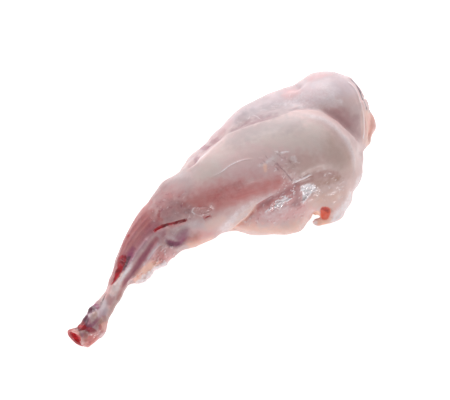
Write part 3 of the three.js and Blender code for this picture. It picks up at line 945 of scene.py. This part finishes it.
# %% Nicks of the knee
press(KNEE_SLIT, 0.6, 0.55, ends=0.08)
draw(KNEE_SLIT, "blood", 1.15, 1.0, soft=0.6, ends=0.08, uneven=0.2)
draw(KNEE_SLIT, "fascia_and_highlight", 1.0, 0.3, soft=0.8, offset=-1.6, ends=0.15)
draw(KNEE_SLIT, "pink", 1.2, 1.0, soft=0.8, offset=-1.4, ends=0.15)
press(SECOND_SLIT, 0.15, 0.4)
draw(SECOND_SLIT, "blood", 0.6, 0.55, soft=1.0, ends=0.4, uneven=0.8)
draw(SECOND_SLIT, "muscle", 2.6, 0.7, soft=1.0)
press(MEMBRANE_LOOP, -0.15, 0.4, ends=0)
draw(MEMBRANE_LOOP, "fascia_and_highlight", 0.5, 0.6, ends=0, uneven=1.0)
tell("blood")

# %% Muscle of the knee
KNEE = (
    (150, 214), (162, 194), (184, 190), (190, 206), (212, 207), (210, 218), (190, 220), (166, 240),
    (156, 228),
)
patch("muscle", 0.5, 5, (166, 210), (168, 199), (184, 195), (204, 196), (204, 206), (186, 209),
      (174, 212))
# The seam, slate and mauve patches paint shade into the knee's hollows.
patch("seam_and_shade", 0.25, 4, (167, 209), (169, 200), (178, 199), (184, 203), (178, 208))
patch("seam_and_shade", 0.3, 2, (182, 212), (186, 208), (191, 209), (190, 214))
patch("slate_shade", 0.7, 2, (165, 221), (168, 217), (173, 217), (173, 221))
patch("blood", 0.4, 1.5, (157, 216), (158, 210), (161, 211), (160, 217))
patch("mauve_and_shade", 0.6, 6, (150, 230), (160, 206), (176, 200), (192, 208), (190, 216), (168, 222))
patch("damp", 0.9, 6, *KNEE)
for finish, strength in (("mauve_and_shade", 0.2), ("muscle", 0.4)):
    patch(finish, strength, 8, *KNEE)
patch("mauve_and_shade", 0.35, 4, (146, 210), (151, 200), (158, 198), (168, 203), (178, 205), (176, 212),
      (160, 212))
# The pale strokes are partly membrane and partly painted glints of the damp knee.
hatch(strokes(60, 3.0, 30, 17, *KNEE), "fascia_and_highlight", 0.35, 0.4, depth=-0.08)
hatch(strokes(40, 3.0, 30, 18, *KNEE), "bruise", 0.45, 0.4)
tell("muscle")

# %% The bruise on the joint
swell((177, 233), 4.5, 0.9)
press(BRUISE_FOLD, 0.5, 1.2)
patch("slate_shade", 0.5, 3, (172, 227), (180, 224), (187, 223), (186, 231), (176, 235), (170, 233), rough=0.3)
patch("bruise", 0.85, 4, (175, 238), (180, 232), (187, 229), (189, 233), (186, 240), (179, 243),
      rough=0.3)
patch("bruise", 1.0, 2.5, (165, 238), (170, 240), (177, 241), (184, 237), (184, 242), (177, 247),
      (168, 245), rough=0.3)
# The dark crescent in the fold under the knob is bruise and painted shade.
patch("seam_and_shade", 0.5, 2, (165, 239), (172, 242), (180, 241), (179, 246), (169, 245), rough=0.3)
patch("mauve_and_shade", 0.6, 4, (166, 240), (176, 240), (186, 236), (186, 244), (178, 250), (168, 248))
# The lilac patch paints a highlight on the knob.
patch("lilac", 0.8, 2.5, (166, 237), (169, 232), (175, 233), (175, 239), (170, 239), rough=0.3)
patch("fascia_and_highlight", 0.35, 3, (170, 229), (177, 225), (190, 221), (198, 220), (194, 226), (182, 228),
      (174, 232), rough=0.3)
patch("bruise", 0.4, 4, (152, 238), (158, 230), (166, 230), (164, 238), (156, 246))
patch("pink", 0.6, 6, (188, 230), (206, 228), (222, 230), (210, 240), (192, 246))
patch("fat", 0.5, 3, (188, 243), (200, 240), (212, 237), (210, 243), (192, 250))
patch("brown", 0.6, 4, (184, 241), (190, 235), (199, 234), (200, 240), (192, 244))
patch("orange", 0.2, 4, (186, 242), (192, 236), (204, 232), (212, 234), (200, 241))
patch("mauve_and_shade", 0.4, 4, (178, 250), (186, 238), (196, 234), (198, 240), (188, 248))
tell("bruise")

# %% Shin muscle and gash
SHIN_OUTER = (146, 206), (134, 220), (122, 239), (115, 259), (111, 272), (109, 283)
SHIN_INNER = (166, 222), (152, 233), (141, 245), (131, 257), (122, 270), (112, 284)
for finish, strength in (("muscle", 0.85), ("mauve_and_shade", 0.4)):
    patch(finish, strength, 4, *SHIN_OUTER, *SHIN_INNER[::-1])
patch("muscle", 0.6, 1.5, (122, 243), (125, 235), (132, 222), (140, 210), (149, 199), (153, 203),
      (144, 214), (136, 226), (129, 239), (125, 245))
for step, line in enumerate(strands(SHIN_OUTER, SHIN_INNER, 9)):
    press(line, 0.1 * (-1) ** step, 0.8)
    draw(line, "bruise" if step % 2 else "pink", 0.8, 0.22, soft=1.0, uneven=0.8)
patch("bruise", 0.35, 4, (152, 222), (160, 228), (150, 242), (140, 252), (132, 262), (126, 268),
      (128, 256), (140, 238))
patch("mauve_and_shade", 0.6, 5, (136, 246), (142, 232), (150, 225), (154, 230), (146, 243), (138, 252))
patch("bruise", 0.9, 3, (126, 258), (130, 247), (136, 248), (133, 259), (127, 267))
# The seam patches paint shade into the gash and the gap beside the shin bone.
patch("seam_and_shade", 0.75, 1.5, (125.5, 261), (127, 257), (131, 256), (130, 260), (127, 263))
patch("seam_and_shade", 0.8, 1.0, (121, 270), (124, 263), (129, 260), (128, 265), (124, 271))
patch("bruise", 0.5, 2, (119, 262), (122, 255), (127, 256), (126, 264), (121, 270))
patch("blood", 0.6, 1.5, (117, 264), (121, 255), (126, 256), (125, 265), (119, 270))
patch("blood", 0.8, 1.2, (117, 268), (122, 265), (123, 268), (119, 277), (113, 284), (111, 285.5),
      (114, 278))
patch("seam_and_shade", 0.75, 1.2, (117, 271), (121, 265), (124, 267), (120, 277), (113, 285), (113, 281))
press(SHIN_GASH, 0.5, 0.8)
draw(SHIN_GASH, "seam_and_shade", 0.5, 0.6, offset=0.5)
# A pale line paints a highlight on the gash's edge.
draw(Line((120, 259), (124, 262), (128, 266)), "fascia_and_highlight", 0.35, 0.8)
spot("blood", (128, 236), 2.0, 0.5)
patch("bruise", 0.8, 1.0, (121, 271), (125, 265), (127, 267), (123, 274))
draw(Line((122, 246), (117, 258), (113, 270), (109, 282)), "fascia_and_highlight", 1.2, 0.4, soft=1.0)
tell("seam_and_shade")

# %% Ridge and groove of the shin bone
press(TIBIA, -0.8, 1.5, ends=0.1)
draw(TIBIA, "lilac", 1.6, 0.7, soft=0.8, ends=0.1)
draw(TIBIA_TOP, "mauve_and_shade", 2.0, 0.5, ends=0.2)
draw(TIBIA_FOOT, "fascia_and_highlight", 1.2, 0.7, ends=0.3, uneven=0.3)
patch("fat", 0.45, 2.5, (110, 292), (116, 282), (121, 274), (125, 272), (121, 283), (115, 294))
press(TIBIA_GROOVE, 0.55, 1.3, ends=0.1)
draw(TIBIA_GROOVE, "bruise", 2.7, 0.6, soft=0.8, ends=0.2)
draw(TIBIA_GROOVE, "muscle", 2.8, 0.8, ends=0.05)
draw(TIBIA_GROOVE, "mauve_and_shade", 2.2, 0.35, ends=0.1)
press(CALF_STRAND, -0.6, 1.1)
draw(CALF_STRAND, "lilac", 1.8, 0.8, soft=0.8)
RIDGE_LEFT = (147, 236), (134, 255), (121, 275), (109, 292)
RIDGE_RIGHT = (164, 242), (151, 258), (139, 274), (124, 290)
for step, line in enumerate(strands(RIDGE_LEFT, RIDGE_RIGHT, 11)):
    press(line, 0.1 * (-1) ** step, 0.5)
    draw(line, ("lilac", "bruise", "pink")[step % 3], 0.6, 0.35, soft=1.0, uneven=1.0)
tell("lilac")

# %% Torn end of the calf
SHIN_FROM, SHIN_TO = 15.0, 30.0
CALF_END = (133, 281), (140, 269), (150, 258), (160, 247), (172, 246), (174, 258), (162, 270), (148, 286)
patch("pink", 1.0, 4, *CALF_END)
patch("mauve_and_shade", 0.4, 5, (160, 242), (166, 238), (176, 248), (184, 252), (174, 256), (162, 252))
patch("muscle", 0.6, 2.5, (155, 262), (158, 252), (164, 252), (165, 260), (160, 265), rough=1.2)
patch("fat", 0.85, 3, (134, 281), (140, 269), (150, 262), (160, 262), (154, 272), (148, 281), (142, 288))
patch("fascia_and_highlight", 0.8, 3, (134, 284), (143, 276), (152, 268), (164, 262), (170, 264), (154, 277),
      (144, 288), rough=1.0)
hatch(strokes(46, 4.0, 50, 21, *CALF_END), "fascia_and_highlight", 0.5, 0.6, depth=-0.35, groove=0.5)
hatch(strokes(24, 4.0, 40, 22, *CALF_END), "orange", 0.6, 0.4, depth=0.4, groove=0.5)
# Below the knee the fibres run along the shin.
masks["shin"][:] = smooth_step(SHIN_FROM, SHIN_TO, -points[:, 0])
tell("fat")

# %% Gnarled skin of the hock
SHANK_FROM, SHANK_TO = 45.0, 72.0
HOCK_FROM, HOCK_TO = 76.0, 90.0
GNARL_HIGH, KNOT_HIGH = 0.5, 0.3
cover("mauve_and_shade", EVERYWHERE, 0.15 * smooth_step(SHANK_FROM, SHANK_TO, -points[:, 0]))
hock = smooth_step(HOCK_FROM, HOCK_TO, -points[:, 0])
gnarl = grain(3.6, run=SHIN_RUN, stretch=1.6, seed=3.1)
knots = grain(1.5, run=SHIN_RUN, stretch=1.8, seed=5.7)
rise += hock * (GNARL_HIGH * gnarl + KNOT_HIGH * knots)
cover("bruise", EVERYWHERE, 0.6 * hock * smooth_step(0.0, 0.4, -gnarl - 0.5 * knots))
cover("fascia_and_highlight", EVERYWHERE, 0.2 * hock * smooth_step(0.25, 0.5, knots))
cover("damp", EVERYWHERE, hock)
swell((92, 309), 2.2, 0.9)
swell((92, 316), 2.0, 0.6)
swell((87, 319), 1.8, -0.4)
print("relief, mm:", relief_range())

# %% Shank above the hock
patch("pink", 0.8, 2.5, (104, 297), (110, 283), (113, 284), (111, 293), (107, 299))
patch("fascia_and_highlight", 0.5, 3, (110, 291), (117, 281), (122, 282), (117, 292), (112, 297))
patch("muscle", 0.5, 2, (116, 297), (121, 286), (125, 284), (123, 291), (117, 300))
patch("mauve_and_shade", 0.7, 2.5, (106, 297), (113, 294), (115, 300), (110, 306), (106, 303))
# The lilac patch paints a sheen on the ankle.
patch("lilac", 0.9, 2, (97, 312), (101, 303), (105, 299), (108, 305), (106, 315), (99, 319))
patch("fascia_and_highlight", 0.3, 2, (101, 307), (104, 300), (107, 300), (106, 307), (102, 312))
patch("slate_shade", 0.6, 2, (103, 311), (106, 308), (108, 311), (105, 317), (102, 317))
patch("pink", 0.8, 2, (108, 306), (110, 297), (114, 294), (114, 301), (111, 309))
patch("brown", 0.7, 2.5, (117, 298), (121, 292), (122, 294), (115, 308), (110, 318), (107, 318),
      (111, 306))
tell("mauve_and_shade")

# %% Knobs over the sawn bone
patch("mauve_and_shade", 0.9, 2, (92, 307), (95, 302), (101, 300), (102, 304), (98, 309), (95, 310))
patch("bruise", 1.0, 1.5, (87, 312), (91, 306), (97, 304), (100, 307), (96, 311), (91, 315))
patch("seam_and_shade", 0.7, 1.5, (88, 312), (91, 308), (96, 307), (95, 312), (91, 314))
# A pale spot paints the knob's highlight.
spot("fascia_and_highlight", (96, 310), 0.8, 0.7)
patch("lilac", 0.7, 1.5, (87, 316), (89, 313), (92, 313), (92, 318), (89, 319))
for finish, strength in (("brown", 0.9), ("slate_shade", 0.5)):
    patch(finish, strength, 1.5, (92, 312), (96, 312), (98, 319), (93, 320))
patch("bruise", 1.0, 1.5, (82, 322), (84, 315), (88, 315), (89, 321), (85, 325))
patch("mauve_and_shade", 0.9, 2, (84, 322), (90, 318), (98, 320), (98, 330), (90, 333), (84, 330), rough=0.8)
patch("bruise", 0.9, 1.5, (84, 323), (88, 320), (91, 323), (92, 330), (87, 331), (84, 328), rough=0.8)
patch("slate_shade", 0.5, 2, (94, 321), (98, 319), (101, 328), (97, 331), (94, 328))
patch("brown", 1.0, 2, (97, 322), (103, 316), (108, 317), (106, 323), (100, 326))
patch("pink", 1.0, 2, (98, 327), (102, 322), (108, 322), (106, 333), (98, 335), rough=0.8)
patch("fat", 0.35, 1.5, (101, 324), (106, 322), (106, 329), (102, 331), rough=0.8)
patch("muscle", 0.7, 1.5, (98, 328), (102, 322), (107, 323), (105, 332), (99, 334), rough=0.8)
patch("blood", 0.4, 1.2, (98, 326), (100, 323), (102, 326), (101, 330), (99, 330), rough=1.0)
tell("bruise")

# %% Skin round the sawn bone
BLOT_EDGE = 1.0
patch("pink", 0.9, 2, (77, 346), (84, 337), (90, 333), (98, 331), (106, 326), (108, 330), (99, 343),
      (90, 350), (80, 350))
patch("muscle", 0.8, 2, (84, 340), (88, 335), (94, 333), (100, 331), (100, 338), (93, 342), (86, 342),
      rough=1.0)
patch("orange", 0.3, 2, (86, 341), (90, 335), (97, 333), (99, 338), (92, 342), rough=1.0)
patch("muscle", 0.4, 1.5, (78, 347), (82, 340), (90, 339), (98, 337), (92, 347), (83, 350))
patch("orange", 0.3, 1.5, (78, 347), (82, 340), (90, 339), (98, 339), (92, 347), (83, 350), rough=0.8)
patch("brown", 1.0, 1.5, (77, 332), (86, 331), (88, 335), (87, 341), (81, 340), (78, 336))
patch("muscle", 0.45, 1.5, (83, 334), (88, 333), (90, 340), (83, 341))
# The seam colour darkens the blood round the bone, partly as dark clotted blood and partly as painted
# shade on skin that faces the lamps.
patch("seam_and_shade", 0.4, 1.5, (84, 327), (90, 325), (95, 331), (91, 333), (86, 332), rough=0.8)
patch("blood", 0.5, 1.5, (83, 326), (90, 327), (97, 331), (92, 335), (86, 333), rough=0.8)
patch("blood", 0.9, 1.0, (73, 331), (77, 326), (85, 325), (86, 328), (84, 330), (78, 331), rough=0.4)
HOCK_BLOT = (73, 330), (75, 319), (83, 313), (88, 317), (87, 325), (82, 328)
patch("seam_and_shade", 0.7, 1.0, *HOCK_BLOT, rough=0.2)
masks["damp"] *= 1 - smooth_step(-BLOT_EDGE, BLOT_EDGE, depth_inside(HOCK_BLOT, pixels))
patch("blood", 0.4, 1.0, (73, 329), (77, 319), (82, 319), (85, 323), (86, 326), (82, 328), rough=0.2)
draw(Line((107, 292), (104, 298), (101, 304), (99, 309)), "seam_and_shade", 0.9, 0.6, uneven=0.8)
tell("blood")

# %% [markdown]
# ## The far side and the fine grain
# The side away from the camera is closed with soft streaks of muscle, fat and membrane that run along the
# leg; slate darkens it all over, and mauve paints shade into the grooves between its sheets. Then the
# whole skin is made slightly uneven, damp skin more finely, and the wet film gets its wrinkles.

# %% The side away from the camera
AWAY_FROM, AWAY_TO = 0.05, 0.35
SHEET_DEPTH, SHEET_EDGE = 0.35, 0.14
away = smooth_step(AWAY_FROM, AWAY_TO, -towards)
streak = grain(11.0, run=LEG_RUN, stretch=7.0, seed=7.7)
sheet = grain(9.0, run=LEG_RUN, stretch=12.0, seed=8.2)
marbling = grain(16.0, run=LEG_RUN, stretch=3.0, seed=2.9)
# Slate darkens the whole far side, and mauve paints shade into the grooves sunk between the sheets.
far_side = {
    "muscle": 0.75 * smooth_step(0.0, 0.4, streak),
    "grey": 0.8 * smooth_step(0.0, 0.4, -streak),
    "slate_shade": 0.45,
    "mauve_and_shade": 0.6 * (1 - smooth_step(0.02, 0.2, np.abs(sheet))),
    "fascia_and_highlight": 0.3 * smooth_step(0.1, 0.25, sheet) * (1 - smooth_step(0.25, 0.4, sheet)),
    "fat": 0.4 * smooth_step(0.0, 0.6, marbling),
}
for finish, amount in far_side.items():
    cover(finish, EVERYWHERE, away * amount)
rise -= SHEET_DEPTH * away * np.exp(-(sheet / SHEET_EDGE) ** 2)
print("far side, share of skin:", round(float((away > 0.5).mean()), 3))

# %% Fine unevenness
BROAD_HIGH, SMALL_HIGH, DAMP_HIGH, FAT_HIGH, WRINKLE_HIGH = 0.2, 0.06, 0.07, 0.3, 0.5
rise += BROAD_HIGH * grain(11.0, seed=1.3) + SMALL_HIGH * grain(3.2, seed=2.2)
rise += masks["damp"] * DAMP_HIGH * grain(1.5, seed=3.6)
rise -= masks["wet"] * WRINKLE_HIGH * np.abs(grain(1.9, run=WRINKLE_RUN, stretch=4.0, seed=6.1))
rise += masks["fat"] * FAT_HIGH * grain(2.4, seed=5.1)
rise = settle(points, rise)
print("relief, mm:", relief_range())

# %% The finished skin
def carry(piece, name, amount):
    """Stores a mask on a piece's mesh."""
    piece.data.attributes.new(name, "FLOAT", "POINT").data.foreach_set("value", amount)


shaped = points + facings * rise[:, None]
low, high = np.array(solid_low) / MM, np.array(solid_high) / MM
shaped = np.clip(shaped, low, high) * MM
skin.to_mesh(leg.data)
leg.data.vertices.foreach_set("co", shaped.ravel())
for name, amount in masks.items():
    carry(leg, name, amount)
leg.data.shade_smooth()
leg.data.update()
print("leg triangles:", sum(len(face.vertices) - 2 for face in leg.data.polygons))

# %% [markdown]
# ## Marks on the bone's end
# The sawn end isn't one colour: its upper facet is pale, its side is dull and blood lies behind it. Those
# places are marked by outlines too, as masks on the bone and on the marrow.

# %% Blood and facets on the bone
MARK_EDGE = 1.0
END_MARKS = (
    (bone, "blood", ((74, 330), (76, 324), (81, 317), (89, 317), (89, 328), (83, 330), (78, 330.5))),
    (bone, "pale", ((71, 331), (74, 329.5), (84, 330.5), (80, 333), (76, 335))),
    (bone, "dull", ((77, 334), (80, 332), (86, 332), (88, 340), (82, 340))),
    (
        marrow, "core",
        ((71.5, 333), (74, 332.5), (77.5, 336.5), (80, 341), (79, 343), (76, 342), (73, 338)),
    ),
)
for piece, name, corners in END_MARKS:
    places = np.array([corner.co for corner in piece.data.vertices]) / MM
    looks = np.array([corner.normal for corner in piece.data.vertices])
    amount = smooth_step(-MARK_EDGE, MARK_EDGE, depth_inside(corners, view_pixels(places, looks)[0]))
    carry(piece, name, amount)
    print(piece.name, name, "share:", round(float(amount.mean()), 3))

# %% [markdown]
# ## Finishes
# Each finish is a node tree, written as Python expressions. One small class stands for a number or colour
# that changes over the surface; its operators add Math nodes. Another holds the material and makes every
# other kind of node.

# %% Shader maths
class Field:
    """A number or colour that changes over a surface: an output socket that Python can reckon with."""

    def __init__(self, finish, socket):
        self.finish = finish
        self.socket = socket

    def math(self, operation, *values):
        return self.finish.node("ShaderNodeMath", {"operation": operation}, dict(enumerate(values)))

    def __add__(self, other):
        return self.math("ADD", self, other)

    def __sub__(self, other):
        return self.math("SUBTRACT", self, other)

    def __rsub__(self, other):
        return self.math("SUBTRACT", other, self)

    def __mul__(self, other):
        return self.math("MULTIPLY", self, other)

    __radd__ = __add__
    __rmul__ = __mul__

    def between(self, low, high):
        """0 below low and 1 above high, with a soft S between."""
        inputs = {"Value": self, "From Min": low, "From Max": high}
        return self.finish.node("ShaderNodeMapRange", {"interpolation_type": "SMOOTHSTEP"}, inputs)


class Finish:
    """A material and the nodes that feed its shader."""

    def __init__(self, name):
        self.material = bpy.data.materials.new(name)
        self.material.use_nodes = True
        self.tree = self.material.node_tree
        self.shader = self.tree.nodes["Principled BSDF"]

    def feed(self, socket, value):
        """Sets a socket to a value, or links it to a field."""
        if isinstance(value, Field):
            self.tree.links.new(value.socket, socket)
        else:
            socket.default_value = value

    def node(self, kind, settings, inputs, output=0):
        """A node of any kind: its settings first, then the values or links of its sockets."""
        made = self.tree.nodes.new(kind)
        for name, value in settings.items():
            setattr(made, name, value)
        for name, value in inputs.items():
            self.feed(made.inputs[name], value)
        return Field(self, made.outputs[output])

    def mix(self, factor, first, second):
        """Goes from the first colour to the second as the factor goes from 0 to 1."""
        return self.node("ShaderNodeMix", {"data_type": "RGBA"}, {0: factor, 6: first, 7: second}, 2)

    def mask(self, name):
        """A mask that the mesh carries."""
        return self.node("ShaderNodeAttribute", {"attribute_name": name}, {}, "Fac")

    def vector(self, operation, inputs, output="Vector"):
        """A Vector Math node."""
        return self.node("ShaderNodeVectorMath", {"operation": operation}, inputs, output)

    def lumps(self, size, run=(1, 0, 0), stretch=1.0, detail=3.0, seed=0.0):
        """Noise from 0 to 1 with lumps of a given size in millimetres, drawn out along a run."""
        where = self.node("ShaderNodeTexCoord", {}, {}, "Object")
        along = self.vector("DOT_PRODUCT", {0: where, 1: tuple(run)}, "Value")
        slack = self.vector("SCALE", {0: tuple(run), "Scale": along * (1 - 1 / stretch)})
        drawn = self.vector("SUBTRACT", {0: where, 1: slack})
        placed = self.vector("ADD", {0: drawn, 1: (seed, seed, seed)})
        inputs = {"Vector": placed, "Scale": 1 / (size * MM), "Detail": detail}
        return self.node("ShaderNodeTexNoise", {}, inputs, "Fac")

    def set(self, **inputs):
        """Sets the shader's own sockets, named with underscores for blanks."""
        for name, value in inputs.items():
            self.feed(self.shader.inputs[name.replace("_", " ")], value)


def colour(red, green, blue):
    """A linear colour from screen values of 0 to 255."""
    parts = [part / 255 for part in (red, green, blue)]
    return (*[p / 12.92 if p <= 0.04045 else ((p + 0.055) / 1.055) ** 2.4 for p in parts], 1.0)


# %% Raw meat under membrane
def make_flesh():
    """Pale membrane over pink meat, and the other finishes of the leg where their masks say."""
    flesh = Finish("raw_flesh")
    broad = flesh.lumps(24.0, detail=2.0)
    small = flesh.lumps(3.5, detail=5.0)
    other = flesh.lumps(4.5, detail=5.0, seed=0.7)
    fine = flesh.lumps(1.1, detail=3.0)
    band_fibres = flesh.lumps(0.8, BAND_RUN, 9.0)
    shin_fibres = flesh.lumps(0.7, SHIN_RUN, 10.0)
    shin = flesh.mask("shin")
    fibres = band_fibres + (shin_fibres - band_fibres) * shin
    damp = flesh.mask("damp")
    uneven = 0.25 + 0.6 * damp
    mottle = 1 + uneven * (small.between(0.3, 0.7) - 0.5)
    other_mottle = 1 + uneven * (other.between(0.3, 0.7) - 0.5)
    tone = flesh.mix(broad, colour(208, 182, 180), colour(218, 188, 186))
    tone = flesh.mix(small.between(0.5, 0.8) * 0.4, tone, colour(230, 210, 208))
    red = flesh.mix(fibres.between(0.3, 0.7), colour(186, 98, 96), colour(194, 106, 104))
    # Slate, mauve and brown also serve as painted shade, and lilac as a painted sheen, where their masks
    # are laid for that.
    layers = (
        ("grey", 0.75, colour(203, 188, 182)),
        ("lilac", 0.9, colour(207, 191, 198)),
        ("slate_shade", 0.9, colour(162, 146, 150)),
        ("pink", 0.8, colour(226, 170, 170)),
        ("brown", 0.85, colour(170, 130, 118)),
        ("muscle", 0.95, red),
        ("mauve_and_shade", 0.85, colour(160, 114, 118)),
        ("bruise", 0.95, colour(142, 66, 100)),
        ("fat", 0.9, colour(246, 196, 174)),
        ("orange", 0.95, colour(228, 92, 60)),
    )
    for step, (name, strength, paint) in enumerate(layers):
        shown = flesh.mask(name) * strength * (other_mottle if step % 2 else mottle)
        tone = flesh.mix(shown, tone, paint)
    ragged = 1 + (fine - 0.5) * 1.2
    # The pale membrane colour also serves as painted highlights and glints, and the seam colour as
    # painted shade in creases, gaps and hollows.
    fascia_and_highlight = (flesh.mask("fascia_and_highlight") * ragged).between(0.0, 1.0)
    tone = flesh.mix(fascia_and_highlight * 0.95, tone, colour(241, 230, 233))
    seam_and_shade = (flesh.mask("seam_and_shade") * ragged).between(0.0, 1.1)
    tone = flesh.mix(seam_and_shade, tone, colour(78, 48, 54))
    blood = (flesh.mask("blood") * ragged).between(0.1, 0.8)
    clotted = flesh.mix(small.between(0.3, 0.7), colour(112, 4, 18), colour(186, 22, 40))
    tone = flesh.mix(blood, tone, clotted)
    wet = flesh.mask("wet")
    rough = 0.45 - 0.2 * wet - 0.1 * damp + 0.2 * (small - 0.5)
    height = fibres * 0.25 + small * 0.3 + fine * (0.2 + 0.6 * damp)
    bump = flesh.node(
        "ShaderNodeBump", {}, {"Strength": 0.4, "Distance": 0.3 * MM, "Height": height}, "Normal"
    )
    flesh.set(
        Base_Color=tone,
        Roughness=rough,
        Coat_Weight=0.05 + 0.4 * damp + 0.6 * wet,
        Coat_Roughness=0.16,
        IOR=1.4,
        Subsurface_Weight=0.25,
        Subsurface_Radius=(0.8, 0.5, 0.45),
        Subsurface_Scale=2.0 * MM,
        Normal=bump,
    )
    return flesh.material


def make_bone():
    """Damp cream bone with pink and bloody stains."""
    hard = Finish("damp_bone")
    stain = hard.lumps(2.5, detail=4.0)
    smear = hard.lumps(3.2, detail=4.0, seed=0.4)
    place = hard.node("ShaderNodeTexCoord", {}, {}, "Object")
    level = hard.vector("DOT_PRODUCT", {0: place, 1: tuple(sawn_facing)}, "Value")
    rim = (level + (stain - 0.5) * 1.5 * MM).between(SAWN_LEVEL - 1.6 * MM, SAWN_LEVEL - 0.2 * MM)
    tone = hard.mix(stain.between(0.35, 0.65), colour(206, 150, 128), colour(190, 112, 104))
    tone = hard.mix(smear.between(0.52, 0.66), tone, colour(176, 34, 46))
    tone = hard.mix(hard.mask("dull") * 0.8, tone, colour(184, 148, 126))
    tone = hard.mix(rim * 0.9, tone, colour(206, 92, 96))
    tone = hard.mix(hard.mask("pale") * 0.9, tone, colour(252, 186, 180))
    tone = hard.mix(hard.mask("blood") * 0.9, tone, colour(120, 8, 20))
    hard.set(Base_Color=tone, Roughness=0.35 + 0.2 * stain, Coat_Weight=0.4, Coat_Roughness=0.2)
    return hard.material


def make_marrow():
    """Wet red marrow with darker clots."""
    core = Finish("red_marrow")
    clots = core.lumps(1.2, detail=3.0)
    tone = core.mix(clots.between(0.35, 0.7), colour(184, 8, 22), colour(110, 0, 10))
    tone = core.mix(core.mask("core"), colour(206, 92, 96), tone)
    core.set(Base_Color=tone, Roughness=0.5 + 0.2 * clots, Specular_IOR_Level=0.05)
    return core.material


for piece, make in ((leg, make_flesh), (bone, make_bone), (marrow, make_marrow)):
    piece.data.materials.clear()
    piece.data.materials.append(make())
    print(piece.name, "finish:", piece.data.materials[0].name)

# %% [markdown]
# ## Studio
# The leg lies on a plain white table under soft light. The table glows a little itself, which washes out
# its shadow as a bright studio does, and lights the meat's rims from below.

# %% Table and sky
TABLE_RADIUS = 4.0
HORIZON, ZENITH = 1.1, 0.38
HORIZON_BAND, ZENITH_BAND = 0.1, 0.75
table_shape = bmesh.new()
bmesh.ops.create_circle(table_shape, cap_ends=True, radius=TABLE_RADIUS, segments=96)
table = new_piece(table_shape, "white_table")
paper = Finish("white_paper")
paper.set(
    Base_Color=colour(190, 190, 190),
    Roughness=0.9,
    Specular_IOR_Level=0.0,
    Emission_Color=(1, 1, 1, 1),
    Emission_Strength=0.85,
)
table.data.materials.append(paper.material)

scene.world = bpy.data.worlds.new("studio")
scene.world.use_nodes = True
sky = scene.world.node_tree
direction = sky.nodes.new("ShaderNodeTexCoord")
split = sky.nodes.new("ShaderNodeSeparateXYZ")
grade = sky.nodes.new("ShaderNodeValToRGB")
grade.color_ramp.elements[0].position = HORIZON_BAND
grade.color_ramp.elements[0].color = (HORIZON, HORIZON, HORIZON, 1)
grade.color_ramp.elements[1].position = ZENITH_BAND
grade.color_ramp.elements[1].color = (ZENITH, ZENITH * 1.02, ZENITH * 1.06, 1)
sky.links.new(direction.outputs["Generated"], split.inputs["Vector"])
sky.links.new(split.outputs["Z"], grade.inputs["Fac"])
sky.links.new(grade.outputs["Color"], sky.nodes["Background"].inputs["Color"])
print("sky from", HORIZON, "at the horizon to", ZENITH, "overhead")


# %% Lamps
def soft_lamp(name, place, size, power):
    """A square soft lamp at a place in millimetres, turned to the leg."""
    lamp = bpy.data.objects.new(name, bpy.data.lights.new(name, "AREA"))
    lamp.data.size = size
    lamp.data.energy = power
    lamp.location = Vector(place) * MM
    lamp.rotation_euler = (TARGET - lamp.location).to_track_quat("-Z", "Y").to_euler()
    scene.collection.objects.link(lamp)
    print(name, "power:", power)
    return lamp


KEY_PLACE, KEY_SIZE, KEY_POWER = (620, 680, 650), 0.7, 10.0
soft_lamp("key_lamp", KEY_PLACE, KEY_SIZE, KEY_POWER)

# Each small glint lamp stands where a wet place mirrors it into the camera, and only shows as a glint.
GLINTS = ((308, 192), 1.0), ((280, 203), 0.6)
GLINT_REACH = 700.0
GLINT_SIZE = 0.05
for number, (pixel, power) in enumerate(GLINTS):
    wet_place, wet_facing = on_leg(pixel)
    mirrored = pixel_ray(*pixel).reflect(wet_facing)
    glint = soft_lamp(f"glint_lamp_{number}", wet_place + mirrored * GLINT_REACH, GLINT_SIZE, power)
    glint.visible_diffuse = False
    print("glint lamp towards:", [round(part, 2) for part in mirrored])
scene.view_settings.view_transform = "Standard"

# %% [markdown]
# ## Pieces on the body
# Every piece rides on the one body and stands for its solid, whose own part is hidden.

# %% Pieces and their solids
for piece, node, slot in (
    (leg, "leg_meat", "flesh"), (bone, "shank_bone", "bone"), (marrow, "bone_marrow", "marrow")
):
    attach(piece, "root")
    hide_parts(node)
